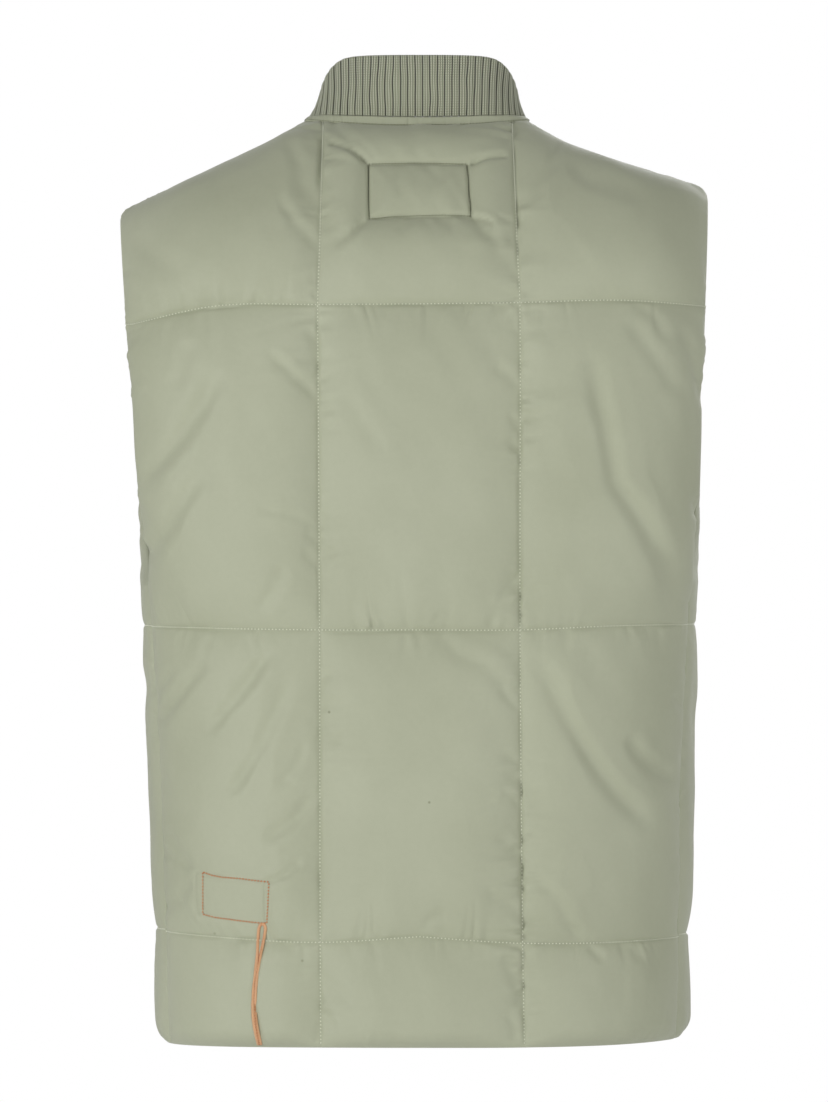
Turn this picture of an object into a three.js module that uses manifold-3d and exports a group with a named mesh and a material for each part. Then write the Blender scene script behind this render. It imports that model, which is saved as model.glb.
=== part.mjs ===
// A quilted vest with a ribbed stand collar and a front zip, filled out as if worn.
// Millimetres, +Z up. The front faces -Y and the wearer's left is +X.
// The origin is the middle of the neck's base, level with the tops of the shoulders.
import * as THREE from 'three';
import { mergeVertices } from 'three/addons/utils/BufferGeometryUtils.js';
import Module from 'manifold-3d';

const wasm = await Module();
wasm.setup();

// Cloth
const seamWall = 3.2;
const puffHeight = 9;
const seamReach = 58;
const edgeReach = 16;
const pinchReach = 30;
const puffPower = 2.4;
const sideFilling = 0.2;
const sideBreadth = 100;
const sideInset = 2.4;
const faceInset = 6.8;
const halfGap = 0.2;
const laidGap = 0.4;

// Neck and collar
const neckHalf = { left: 85.9, right: 82.8 };
const neckBackDepth = 40;
const neckFrontDepth = 78;
const neckFrontDrop = 70;
const neckBackDip = 4;
const neckPointHeight = 1;
const neckSquareness = 2.3;
const neckDropPower = 1.4;
const neckCrowding = 1.6;
const collarTopHalf = 76;
const collarTopBack = 33;
const collarTopSide = -30;
const collarTopFront = -98;
const collarTopHeight = 50;
const collarTopTilt = 0.78;
const collarTiltStart = 19;
const tiltSoftness = 4;
const collarTopSquareness = 2.6;
const collarWall = 4.6;
const collarCornerRadius = 10;
const ribDepth = 1.5;
const ribsBackQuarter = 16;
const ribsFrontQuarter = 21.5;
const ribCrown = 0.28;
const bandHeight = 6.4;
const bandWall = 2.6;
const bandProud = 0.4;
const neckSink = 0.9;

// Front opening and zip
const openingHalf = 5.5;
const chainHalf = 2.9;
const chainThickness = 2.3;
const tapeInner = 0.2;
const tapeOuter = 15;
const tapeThickness = 1;

// Side seam, behind the middle of the side
const sideSeamDepth = 40;
const underarm = 0.135;

// Half widths, half depths and squareness of the body's level sections, at the outer cloth
const sections = [
  { z: -705, left: 194.5, right: 201, back: 131, front: 126, square: 2.5 },
  { z: -590, left: 198.5, right: 203, back: 133, front: 130, square: 2.5 },
  { z: -480, left: 202, right: 204.5, back: 134, front: 131, square: 2.5 },
  { z: -380, left: 207.5, right: 208.5, back: 135, front: 131, square: 2.7 },
  { z: -345, left: 207, right: 208.5, back: 134.5, front: 130, square: 3.2 },
  { z: -312, left: 213.5, right: 213.2, back: 134.3, front: 129, square: 3.6 },
  { z: -280, left: 220, right: 218.8, back: 134, front: 128, square: 3.6 },
  { z: -180, left: 230.5, right: 226.5, back: 130, front: 122, square: 3.3 },
  { z: -90, left: 231, right: 224, back: 122, front: 114, square: 3.4 },
];

// Distances from the middle at which the heights of the level lines are given
const lineX = 75;
const halfwayX = 150;
const sideX = 215;

// Heights of the level lines, from the hem up: the hem, then the low, waist and yoke quilting lines.
// Each is given on the back from the middle out to the left and right sides, and once for the front.
const rowLines = [
  { middle: -697, left: [-697, -697.5, -698], right: [-697, -696, -693], front: -697 },
  { middle: -614.5, left: [-619, -616, -611], right: [-619.5, -619.5, -616], front: -615 },
  { middle: -385, left: [-385, -384, -382], right: [-385, -382, -381], front: -383 },
  { middle: -141, left: [-141.5, -142, -155], right: [-140, -138, -141.5], front: -143 },
];
const frontTurn = 0.4;

// Distances of the two upright quilting lines from the middle
const uprightLines = [
  { z: -705, left: 73.5, right: 79 },
  { z: -620, left: 74, right: 77.5 },
  { z: -385, left: 74.5, right: 75.5 },
  { z: -141, left: 76, right: 75.5 },
  { z: -80, left: 77, right: 73.2 },
  { z: 0, left: 73.3, right: 71.2 },
];

// Shoulder seams: out is the share of the way from the neck to the tip, the others are heights
const shoulderTip = { left: 227, right: 219.5 };
const shoulderLine = [
  { out: 0, left: 1, right: 1 },
  { out: 0.08, left: -6, right: -7 },
  { out: 0.18, left: -14.5, right: -15 },
  { out: 0.35, left: -26, right: -24.5 },
  { out: 0.53, left: -38, right: -32 },
  { out: 0.71, left: -49.5, right: -39.5 },
  { out: 0.89, left: -61.5, right: -46 },
  { out: 0.97, left: -67, right: -50.5 },
  { out: 1, left: -73, right: -57.5 },
];

// Armhole edges: up is the share of the row from the waist line to the yoke line
const armhole = [
  { up: underarm, back: 40, front: 40 },
  { up: 0.165, back: 45, front: 23 },
  { up: 0.205, back: 51, front: 3 },
  { up: 0.26, back: 57, front: -20 },
  { up: 0.37, back: 63, front: -46 },
  { up: 0.54, back: 67, front: -62 },
  { up: 0.78, back: 68, front: -67 },
  { up: 1, back: 61, front: -58 },
];

// The largest folds of the back and the fronts, as soft troughs between two points
const backFolds = [
  { fromX: -131, fromZ: -186, toX: -160, toZ: -322, depth: 4, width: 11 },
  { fromX: -160, fromZ: -322, toX: -190, toZ: -372, depth: 3.5, width: 11 },
  { fromX: -196, fromZ: -160, toX: -213, toZ: -214, depth: 3, width: 8 },
  { fromX: -96, fromZ: -415, toX: -128, toZ: -485, depth: 3.5, width: 11 },
  { fromX: -128, fromZ: -485, toX: -159, toZ: -524, depth: 3, width: 10 },
  { fromX: -152, fromZ: -468, toX: -188, toZ: -527, depth: 3, width: 10 },
  { fromX: -89, fromZ: -574, toX: -121, toZ: -620, depth: 2.5, width: 10 },
  { fromX: 152, fromZ: -196, toX: 204, toZ: -271, depth: 3, width: 10 },
  { fromX: 166, fromZ: -280, toX: 202, toZ: -332, depth: 2.5, width: 10 },
  { fromX: 104, fromZ: -400, toX: 152, toZ: -454, depth: 3, width: 11 },
  { fromX: 83, fromZ: -510, toX: 117, toZ: -545, depth: 2.5, width: 10 },
  { fromX: 187, fromZ: -537, toX: 166, toZ: -567, depth: 2.5, width: 10 },
];
const frontFolds = [
  { fromX: 196, fromZ: -205, toX: 150, toZ: -318, depth: 3.4, width: 12 },
  { fromX: 150, fromZ: -318, toX: 128, toZ: -352, depth: 3, width: 12 },
  { fromX: 205, fromZ: -420, toX: 141, toZ: -486, depth: 3, width: 12 },
  { fromX: 172, fromZ: -500, toX: 117, toZ: -583, depth: 2.4, width: 12 },
  { fromX: -190, fromZ: -232, toX: -150, toZ: -343, depth: 3, width: 12 },
  { fromX: -150, fromZ: -343, toX: -120, toZ: -372, depth: 2.6, width: 12 },
  { fromX: -88, fromZ: -400, toX: -150, toZ: -476, depth: 2.6, width: 12 },
  { fromX: -198, fromZ: -444, toX: -152, toZ: -560, depth: 3, width: 12 },
];
const leastPuff = 0.4;

// The stitched rectangle under the collar, in the middle column
const stitchedBox = { half: 37.8, top: -35, bottom: -76, filling: 0.45 };

// The orange binding round the slit, from its top to the hem
const slitBinding = [
  { z: -607, x: 118, width: 6.5 },
  { z: -622, x: 119.5, width: 5.6 },
  { z: -640, x: 121.5, width: 4.6 },
  { z: -660, x: 123.5, width: 4.4 },
  { z: -680, x: 124.3, width: 4.4 },
  { z: -694.5, x: 121.5, width: 4.4 },
];
const bindingThickness = 1.2;
const bindingSteps = 44;

// Shares of each row and column at which the cloth's outer points lie
const rowShares = [
  [0, 0.06, 0.2, 0.45, 0.7, 0.9],
  [0, 0.03, 0.09, 0.17, 0.25, 0.33, 0.41, 0.5, 0.58, 0.66, 0.74, 0.83, 0.91, 0.97],
  [0, 0.06, underarm, 0.165, 0.205, 0.25, 0.3, 0.36, 0.43, 0.51, 0.6, 0.69, 0.78, 0.87, 0.95],
  [0, 0.08, 0.19, 0.312, 0.435, 0.558, 0.68, 0.8, 0.9, 1],
];
const backSideShares = [0, 0.04, 0.12, 0.21, 0.3, 0.39, 0.48, 0.57, 0.66, 0.75, 0.865, 0.92, 0.965];
const backMiddleShares = [0, 0.1, 0.28, 0.5, 0.75];
const backNeckShare = 0.865;
const frontSideShares = [0, 0.04, 0.12, 0.21, 0.31, 0.42, 0.54, 0.66, 0.78, 0.86, 0.93, 0.97];
const frontMiddleShares = [0, 0.13, 0.28, 0.45, 0.63, 0.82, 1];
const frontNeckShare = 0.78;

const lastRow = rowShares.flat().length - 1;
const clamp = THREE.MathUtils.clamp;
const lerp = THREE.MathUtils.lerp;

// Reads one column of a table between its rows, on a smooth curve through them
function read(table, key, column, at) {
  const last = table.length - 1;
  let i = 0;
  while (i < last - 1 && at > table[i + 1][key]) i += 1;
  const slope = (k) => {
    const before = table[Math.max(k - 1, 0)];
    const after = table[Math.min(k + 1, last)];
    return (after[column] - before[column]) / (after[key] - before[key]);
  };
  const span = table[i + 1][key] - table[i][key];
  const t = clamp((at - table[i][key]) / span, 0, 1);
  const start = table[i][column] * (1 + 2 * t) * (1 - t) ** 2 + slope(i) * span * t * (1 - t) ** 2;
  const end = table[i + 1][column] * t * t * (3 - 2 * t) - slope(i + 1) * span * t * t * (1 - t);
  return start + end;
}

// The quilting lines lie this far inside the outline that the table gives
function section(z, side, y) {
  return {
    a: read(sections, 'z', side, z) - sideInset,
    b: read(sections, 'z', y < 0 ? 'front' : 'back', z) - faceInset,
    n: read(sections, 'z', 'square', z),
  };
}

function widthAt(z, side, y) {
  const { a, b, n } = section(z, side, y);
  return a * (1 - Math.abs(y / b) ** n) ** (1 / n);
}

function depthAt(z, side, x, facing) {
  const { a, b, n } = section(z, side, facing);
  return facing * b * (1 - Math.abs(x / a) ** n) ** (1 / n);
}

// A level section's point at an angle from the middle of the back
function around(z, side, angle) {
  const facing = Math.cos(angle) < 0 ? -1 : 1;
  const { a, b, n } = section(z, side, facing);
  const reach = (Math.abs(Math.sin(angle) / a) ** n + Math.abs(Math.cos(angle) / b) ** n) ** (-1 / n);
  return { x: reach * Math.sin(angle), y: reach * Math.cos(angle) };
}

// The point at a share of the section's length between two angles
function alongSection(z, side, from, to, share) {
  const steps = 40;
  const points = Array.from({ length: steps + 1 }, (_, i) => around(z, side, lerp(from, to, i / steps)));
  const lengths = [0];
  for (let i = 1; i <= steps; i += 1) {
    lengths.push(lengths[i - 1] + Math.hypot(points[i].x - points[i - 1].x, points[i].y - points[i - 1].y));
  }
  const wanted = share * lengths[steps];
  let i = 1;
  while (i < steps && lengths[i] < wanted) i += 1;
  const t = (wanted - lengths[i - 1]) / (lengths[i] - lengths[i - 1]);
  return { x: lerp(points[i - 1].x, points[i].x, t), y: lerp(points[i - 1].y, points[i].y, t) };
}

// Height of a level line at a distance from the middle, on the back or the front
function lineHeight(row, side, x, facing) {
  const { middle, front, [side]: [atLine, halfway, atSide] } = rowLines[row];
  const heights = facing > 0
    ? [middle, atLine, halfway, atSide]
    : [front, front, lerp(front, atSide, frontTurn), atSide];
  const across = [0, lineX, halfwayX, sideX].map((at, i) => ({ x: at, z: heights[i] }));
  return read(across, 'x', 'z', Math.abs(x));
}

// The neck edge. Quarter 0 to 1 runs from the middle of the back to the neck point, 1 to 2 on to the zip.
function neckEdge(side, quarter) {
  const half = neckHalf[side];
  if (quarter <= 1) {
    const angle = quarter * Math.PI / 2;
    const power = 2 / neckSquareness;
    const x = half * Math.sin(angle) ** power;
    const y = neckBackDepth * Math.max(Math.cos(angle), 0) ** power;
    return new THREE.Vector3(x, y, lerp(-neckBackDip, neckPointHeight, (x / half) ** 2));
  }
  const angle = (quarter - 1) * Math.acos(openingHalf / half);
  const drop = neckFrontDrop * Math.sin(angle) ** neckDropPower;
  return new THREE.Vector3(half * Math.cos(angle), -neckFrontDepth * Math.sin(angle), neckPointHeight - drop);
}

// The collar's top edge, level behind and falling to the front
function collarEdge(side, quarter) {
  let x;
  let y;
  if (quarter <= 1) {
    const angle = quarter * Math.PI / 2;
    const power = 2 / collarTopSquareness;
    x = collarTopHalf * Math.sin(angle) ** power;
    y = lerp(collarTopSide, collarTopBack, Math.max(Math.cos(angle), 0) ** power);
  } else {
    const angle = (quarter - 1) * Math.acos(openingHalf / collarTopHalf);
    x = collarTopHalf * Math.cos(angle);
    y = lerp(collarTopSide, collarTopFront, Math.sin(angle));
  }
  const below = tiltSoftness * Math.log(1 + Math.exp((collarTiltStart - y) / tiltSoftness));
  return new THREE.Vector3(x, y, collarTopHeight - collarTopTilt * below);
}

// An edge resampled so that equal shares of a quarter are equal lengths of cloth
function evenEdge(edge, side, quarter) {
  const steps = 120;
  const first = quarter > 1 ? 1 : 0;
  const points = Array.from({ length: steps + 1 }, (_, i) => edge(side, first + i / steps));
  const lengths = [0];
  for (let i = 1; i <= steps; i += 1) lengths.push(lengths[i - 1] + points[i].distanceTo(points[i - 1]));
  const wanted = clamp(quarter - first, 0, 1) * lengths[steps];
  let i = 1;
  while (i < steps && lengths[i] < wanted) i += 1;
  return points[i - 1].clone().lerp(points[i], (wanted - lengths[i - 1]) / (lengths[i] - lengths[i - 1]));
}

// The neck edge at a distance from the middle, on the back or the front
function neckAt(side, x, facing) {
  const half = neckHalf[side];
  if (facing > 0) {
    const y = neckBackDepth * (1 - (x / half) ** neckSquareness) ** (1 / neckSquareness);
    return new THREE.Vector3(x, y, lerp(-neckBackDip, neckPointHeight, (x / half) ** 2));
  }
  return neckEdge(side, 1 + Math.acos(x / half) / Math.acos(openingHalf / half));
}

function shoulderAt(side, out) {
  const x = lerp(neckHalf[side], shoulderTip[side], out);
  return new THREE.Vector3(x, 0, read(shoulderLine, 'out', side, out) - (out === 0 ? neckSink : 0));
}

// The panels end just under the band
const sunk = (point) => point.setZ(point.z - neckSink);

// A point of the panel's top edge: the shoulder seam, then the neck
function topPoint(panel, side, share, middle) {
  const topLineX = read(uprightLines, 'z', side, 0);
  if (middle) {
    const x = lerp(topLineX, panel.facing > 0 ? 0 : openingHalf, share);
    return sunk(neckAt(side, x, panel.facing));
  }
  if (share <= panel.neckShare) return shoulderAt(side, 1 - share / panel.neckShare);
  const t = (share - panel.neckShare) / (1 - panel.neckShare);
  return sunk(neckAt(side, lerp(neckHalf[side], topLineX, t ** neckCrowding), panel.facing));
}

// A point of the seam surface below the yoke line
function bodyPoint(panel, side, row, rowShare, share, middle) {
  const { facing } = panel;
  const height = (x) => lerp(
    lineHeight(row, side, x, facing),
    lineHeight(row + 1, side, x, facing),
    rowShare,
  );
  const sideZ = height(sideX);
  let edgeY = sideSeamDepth;
  if (row === 2 && rowShare > underarm) edgeY = read(armhole, 'up', facing > 0 ? 'back' : 'front', rowShare);
  const edgeX = widthAt(sideZ, side, edgeY);
  const lineZ = height(lineX);
  const quiltX = read(uprightLines, 'z', side, lineZ);
  if (middle) {
    const x = lerp(quiltX, facing > 0 ? 0 : openingHalf, share);
    const z = height(x);
    return new THREE.Vector3(x, depthAt(z, side, x, facing), z);
  }
  const edgeAngle = Math.atan2(edgeX, edgeY);
  const lineAngle = Math.atan2(quiltX, depthAt(lineZ, side, quiltX, facing));
  const rough = alongSection(sideZ, side, edgeAngle, lineAngle, share);
  const z = height(rough.x);
  const exact = alongSection(z, side, edgeAngle, lineAngle, share);
  return new THREE.Vector3(exact.x, exact.y, z);
}

// The yoke is rounder at the shoulders than at the neck, from this share of a side cell on
const shoulderShare = 0.45;
const shoulderRoundness = 2;

// A point of the yoke, which rounds over from the yoke line to the shoulder seam or the neck
function yokePoint(panel, side, rowShare, share, middle) {
  const low = bodyPoint(panel, side, 2, 1, share, middle);
  const top = topPoint(panel, side, share, middle);
  const fall = 1 - Math.sin(rowShare * Math.PI / 2);
  const neckward = middle ? 1 : clamp((share - shoulderShare) / (panel.neckShare - shoulderShare), 0, 1);
  const roundness = lerp(shoulderRoundness, panel.neckRoundness, neckward);
  const risen = (1 - (1 - fall) ** roundness) ** (1 / roundness);
  const z = lerp(top.z, low.z, fall);
  return new THREE.Vector3(lerp(top.x, low.x, fall), lerp(top.y, low.y, risen), z);
}

// Sizes of the quilted cells: their heights from the hem up, and the widths of half the back's
// middle cell, the front's middle cell and a side cell
const cellHeights = [80, 235, 240, 135];
const halfMiddle = 75;
const frontMiddle = 70;
const sideCell = 200;

// The share of an edge over which a slope is taken
const slopeStep = 0.02;

const rise = (distance, reach) => 1 - (1 - clamp(distance / reach, 0, 1)) ** puffPower;

// How far the filling raises a point, from its distances to the seams round its cell
function puff(panel, side, row, rowShare, share, middle, point) {
  const topRow = row === 3;
  const heightOfCell = cellHeights[row];
  const upShare = topRow ? Math.sin(rowShare * Math.PI / 2) : rowShare;
  const bottomReach = row === 0 ? edgeReach : seamReach;
  const vertical = rise(upShare * heightOfCell, bottomReach)
    * rise((1 - upShare) * heightOfCell, topRow ? pinchReach : seamReach);
  let across;
  if (middle && panel.facing > 0) {
    across = rise(share * halfMiddle, seamReach) * rise((2 - share) * halfMiddle, seamReach);
  } else if (middle) {
    across = rise(share * frontMiddle, seamReach) * rise((1 - share) * frontMiddle, pinchReach);
  } else {
    const filled = lerp(sideFilling, 1, rise(share * sideCell, sideBreadth));
    across = filled * rise(share * sideCell, edgeReach) * rise((1 - share) * sideCell, seamReach);
  }
  let height = puffHeight * vertical * across;
  if (middle && topRow && panel.facing > 0) height *= boxPinch(point);
  return height;
}

// The stitched rectangle holds the filling down along its four sides
function boxPinch(point) {
  const outX = Math.abs(point.x) - stitchedBox.half;
  const outZ = Math.max(stitchedBox.bottom - point.z, point.z - stitchedBox.top);
  const outside = Math.max(outX, outZ);
  const share = rise(Math.abs(outside), pinchReach);
  return outside < 0 ? share * stitchedBox.filling : share;
}

function foldDepth(folds, point) {
  let deepest = 0;
  for (const fold of folds) {
    const run = new THREE.Vector2(fold.toX - fold.fromX, fold.toZ - fold.fromZ);
    const rel = new THREE.Vector2(point.x - fold.fromX, point.z - fold.fromZ);
    const along = rel.dot(run) / run.lengthSq();
    const past = Math.max(-along, along - 1, 0) * run.length();
    const off = Math.abs(rel.cross(run)) / run.length();
    const trough = fold.depth * Math.exp(-((off / fold.width) ** 2) - ((past / fold.width) ** 2));
    deepest = Math.max(deepest, trough);
  }
  return deepest;
}

// The panel's columns: each has a side, a share and whether it lies in the middle column of cells
function backColumns() {
  const half = [];
  for (const share of backSideShares) half.push({ share, middle: false });
  for (const share of backMiddleShares) half.push({ share, middle: true });
  const left = half.map((c) => ({ ...c, side: 'left' }));
  const right = half.map((c) => ({ ...c, side: 'right' })).reverse();
  return [...left, { share: 1, middle: true, side: 'left' }, ...right];
}

function frontColumns(side) {
  const outer = frontSideShares.map((share) => ({ share, middle: false, side }));
  return [...outer, ...frontMiddleShares.map((share) => ({ share, middle: true, side }))];
}

const rows = rowShares.flatMap((shares, row) => shares.map((share) => ({ row, share })));

// A panel's seam surface as a grid of points, with the puff of each
function panelGrid(panel, columns) {
  return columns.map((column) => rows.map(({ row, share }) => {
    const point = row === 3
      ? yokePoint(panel, column.side, share, column.share, column.middle)
      : bodyPoint(panel, column.side, row, share, column.share, column.middle);
    const height = puff(panel, column.side, row, share, column.share, column.middle, point);
    if (column.side === 'right') point.x *= -1;
    return { point, height, column, row, share };
  }));
}

// Outward normals of a grid, from each point's neighbours
function gridNormals(grid) {
  const lastI = grid.length - 1;
  return grid.map((line, i) => line.map((cell, j) => {
    const across = grid[Math.min(i + 1, lastI)][j].point.clone().sub(grid[Math.max(i - 1, 0)][j].point);
    const up = line[Math.min(j + 1, lastRow)].point.clone().sub(line[Math.max(j - 1, 0)].point);
    return across.cross(up).normalize();
  }));
}

// Whether a cell of the grid lies on the shoulder seam or the side seam
function onShoulderSeam(panel, { column, row, share }) {
  return row === 3 && share === 1 && !column.middle && column.share <= panel.neckShare;
}

function onSideSeam({ column, row, share }) {
  const below = row < 2 || (row === 2 && share <= underarm);
  return column.share === 0 && !column.middle && below;
}

// Both panels share these normals along the side and shoulder seams
function seamNormal(panel, cell) {
  const { column } = cell;
  const sign = column.side === 'right' ? -1 : 1;
  if (onShoulderSeam(panel, cell)) {
    const out = 1 - column.share / panel.neckShare;
    const near = shoulderAt(column.side, Math.max(out - slopeStep, 0));
    const far = shoulderAt(column.side, Math.min(out + slopeStep, 1));
    return new THREE.Vector3((near.z - far.z) * sign, 0, far.x - near.x).normalize();
  }
  if (onSideSeam(cell)) {
    const { a, b, n } = section(cell.point.z, column.side, 1);
    const nx = Math.abs(cell.point.x / a) ** (n - 1) / a;
    const ny = Math.abs(cell.point.y / b) ** (n - 1) / b;
    return new THREE.Vector3(nx * sign, ny, 0).normalize();
  }
  return null;
}

// Moves a seam's points apart so that the two panels stand clear of each other
function partSeam(panel, cell, normal) {
  if (onShoulderSeam(panel, cell)) return new THREE.Vector3(0, panel.facing * halfGap, 0);
  if (onSideSeam(cell)) {
    const sign = cell.column.side === 'right' ? -1 : 1;
    return new THREE.Vector3(-normal.y * sign, Math.abs(normal.x), 0).multiplyScalar(panel.facing * halfGap);
  }
  return new THREE.Vector3();
}

function panelSurfaces(panel, columns) {
  const grid = panelGrid(panel, columns);
  const normals = gridNormals(grid);
  const outward = panel.facing * (columns[0].side === 'right' ? -1 : 1);
  const outer = [];
  const inner = [];
  grid.forEach((line, i) => {
    outer.push([]);
    inner.push([]);
    line.forEach((cell, j) => {
      const normal = seamNormal(panel, cell) ?? normals[i][j].multiplyScalar(outward);
      if (cell.column.middle && cell.column.share === 1 && panel.facing < 0) normal.setX(0).normalize();
      const base = cell.point.clone().add(partSeam(panel, cell, normal));
      const folded = cell.height - foldDepth(panel.folds, cell.point);
      const raised = Math.max(folded, Math.min(cell.height, leastPuff));
      outer[i].push(base.clone().addScaledVector(normal, raised));
      inner[i].push(base.clone().addScaledVector(normal, -seamWall));
    });
  });
  return { outer, inner, grid };
}

const everySecond = (list) => list.filter((_, i) => i % 2 === 0);
const coarse = (grid) => everySecond(grid).map((line) => everySecond(line));

// A closed wall between a fine outer grid and a coarser inner grid of the same outline
function wall(outer, inner) {
  const vertices = [];
  const triangles = [];
  const add = (grid) => grid.map((line) => line.map((point) => vertices.push(point) - 1));
  const out = add(outer);
  const inn = add(inner);
  const sheet = (ids, flip) => {
    for (let i = 0; i + 1 < ids.length; i += 1) {
      for (let j = 0; j + 1 < ids[i].length; j += 1) {
        const [a, b, c, d] = [ids[i][j], ids[i + 1][j], ids[i + 1][j + 1], ids[i][j + 1]];
        if (flip) triangles.push([a, c, b], [a, d, c]);
        else triangles.push([a, b, c], [a, c, d]);
      }
    }
  };
  sheet(out, false);
  sheet(inn, true);
  const rim = (fine, plain, flip) => {
    const ratio = (fine.length - 1) / (plain.length - 1);
    const middle = Math.floor(ratio / 2);
    const push = (a, b, c) => triangles.push(flip ? [a, c, b] : [a, b, c]);
    for (let k = 0; k + 1 < plain.length; k += 1) {
      for (let m = 0; m < ratio; m += 1) {
        const owner = m < middle ? plain[k] : plain[k + 1];
        push(owner, fine[k * ratio + m + 1], fine[k * ratio + m]);
      }
      push(plain[k], plain[k + 1], fine[k * ratio + middle]);
    }
  };
  const lastI = out.length - 1;
  const lastJ = out[0].length - 1;
  rim(out.map((line) => line[0]), inn.map((line) => line[0]), false);
  rim(out.map((line) => line[lastJ]), inn.map((line) => line[inn[0].length - 1]), true);
  rim(out[0], inn[0], true);
  rim(out[lastI], inn.at(-1), false);
  return closed(vertices, triangles);
}

// A geometry whose faces point out, whichever way round its grids ran
function closed(vertices, triangles) {
  let volume = 0;
  for (const [a, b, c] of triangles) {
    volume += vertices[a].dot(vertices[b].clone().cross(vertices[c]));
  }
  const faces = volume > 0 ? triangles : triangles.map(([a, b, c]) => [a, c, b]);
  const geometry = new THREE.BufferGeometry();
  const positions = vertices.flatMap((v) => [v.x, v.y, v.z]);
  geometry.setAttribute('position', new THREE.Float32BufferAttribute(positions, 3));
  geometry.setIndex(faces.flat());
  return geometry;
}

const backPanel = { facing: 1, neckShare: backNeckShare, neckRoundness: 1.6, folds: backFolds };
const frontPanel = { facing: -1, neckShare: frontNeckShare, neckRoundness: 1.4, folds: frontFolds };
const backCloth = panelSurfaces(backPanel, backColumns());
const frontCloth = {
  left: panelSurfaces(frontPanel, frontColumns('left')),
  right: panelSurfaces(frontPanel, frontColumns('right')),
};

// The collar and the band under it, from the neck edge up to the collar's top edge
function collarFrame(position, height, outward) {
  const quarter = Math.abs(position);
  const side = position >= 0 ? 'left' : 'right';
  const mirror = (point) => (position >= 0 ? point : point.setX(-point.x));
  const base = mirror(evenEdge(neckEdge, side, quarter));
  const top = mirror(evenEdge(collarEdge, side, quarter));
  const up = top.clone().sub(base).normalize();
  const near = (at) => {
    const point = evenEdge(neckEdge, at >= 0 ? 'left' : 'right', Math.min(Math.abs(at), 2));
    return at >= 0 ? point : point.setX(-point.x);
  };
  const tangent = near(Math.min(position + slopeStep, 2)).sub(near(Math.max(position - slopeStep, -2)));
  const out = up.clone().cross(tangent).normalize();
  return base.addScaledVector(up, height).addScaledVector(out, outward);
}

const collarLength = (position) => {
  const side = position >= 0 ? 'left' : 'right';
  const quarter = Math.abs(position);
  return evenEdge(neckEdge, side, quarter).distanceTo(evenEdge(collarEdge, side, quarter));
};

// A rib number counted from the middle of the back becomes a place round the neck
function ribPlace(rib) {
  const count = Math.abs(rib);
  if (count <= ribsBackQuarter) return rib / ribsBackQuarter;
  return Math.sign(rib) * Math.min(1 + (count - ribsBackQuarter) / ribsFrontQuarter, 2);
}

const lastRib = ribsBackQuarter + ribsFrontQuarter;
const ribCount = 2 * lastRib;

// The collar's outside ends on its top fold, and its inside stops a little lower
const collarRows = [0, 0.4, 0.8, 1];
const insideTop = 0.8;
const frontQuarterLength = 140;

// How far a rounded corner lowers the collar's top edge near its two ends
function cornerDrop(place) {
  const toEnd = (2 - Math.abs(place)) * frontQuarterLength;
  if (toEnd >= collarCornerRadius) return 0;
  return collarCornerRadius - Math.sqrt(collarCornerRadius ** 2 - (collarCornerRadius - toEnd) ** 2);
}

function ribCollar() {
  const outer = [];
  const inner = [];
  const start = bandHeight + 1.5 * laidGap;
  for (let k = 0; k <= ribCount; k += 1) {
    for (const offset of k < ribCount ? [0, 0.5 - ribCrown, 0.5 + ribCrown] : [0]) {
      const place = ribPlace(k - lastRib + offset);
      const full = collarLength(place) - start - cornerDrop(place);
      const groove = offset === 0 ? ribDepth : 0;
      outer.push(collarRows.map((share) => (
        collarFrame(place, start + full * share, share === 1 ? -collarWall / 2 : -groove)
      )));
      if (offset === 0) {
        inner.push(collarRows.map((_, j) => {
          const share = insideTop * j / (collarRows.length - 1);
          return collarFrame(place, start + full * share, -collarWall);
        }));
      }
    }
  }
  return wall(outer, inner);
}

function neckBand() {
  const outer = [];
  const inner = [];
  for (let k = 0; k <= ribCount; k += 1) {
    const place = ribPlace(k - lastRib);
    outer.push([laidGap, bandHeight].map((height) => collarFrame(place, height, bandProud)));
    inner.push([laidGap, bandHeight].map((height) => collarFrame(place, height, bandProud - bandWall)));
  }
  return wall(outer, inner);
}

// The zip follows the front panels' edges in the middle
const frontEdge = {
  left: frontCloth.left.grid.at(-1),
  right: frontCloth.right.grid.at(-1),
};

// The middle of the front at each row: a point on the seam surface and its outward normal
const zipLine = rows.map((_, j) => {
  const left = frontEdge.left[j].point;
  const right = frontEdge.right[j].point;
  return { point: new THREE.Vector3(0, (left.y + right.y) / 2, (left.z + right.z) / 2) };
});
zipLine.forEach((place, j) => {
  const before = zipLine[Math.max(j - 1, 0)].point;
  const after = zipLine[Math.min(j + 1, lastRow)].point;
  const up = after.clone().sub(before).normalize();
  place.up = up;
  place.out = new THREE.Vector3(0, -up.z, up.y);
});

const zipRows = everySecond(zipLine);

// A strip of the zip between two distances from the middle, at depths under the seam surface
function zipStrip(fromX, toX, outerDepth, innerDepth, places) {
  const at = (place, x, depth) => place.point.clone().setX(x).addScaledVector(place.out, -depth);
  const outer = [fromX, toX].map((x) => places.map((place) => at(place, x, outerDepth)));
  const inner = [fromX, toX].map((x) => places.map((place) => at(place, x, innerDepth)));
  return wall(outer, inner);
}

const tapeDepth = seamWall + laidGap;

function zipTape(sign) {
  const from = sign * tapeInner;
  const to = sign * tapeOuter;
  return zipStrip(from, to, tapeDepth, tapeDepth + tapeThickness, zipRows);
}

const chainBack = tapeDepth - laidGap;
const boxHeight = 9;
const boxHalf = 4.6;
const boxProud = 0.8;
const chainStart = boxHeight + 0.4;

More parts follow.
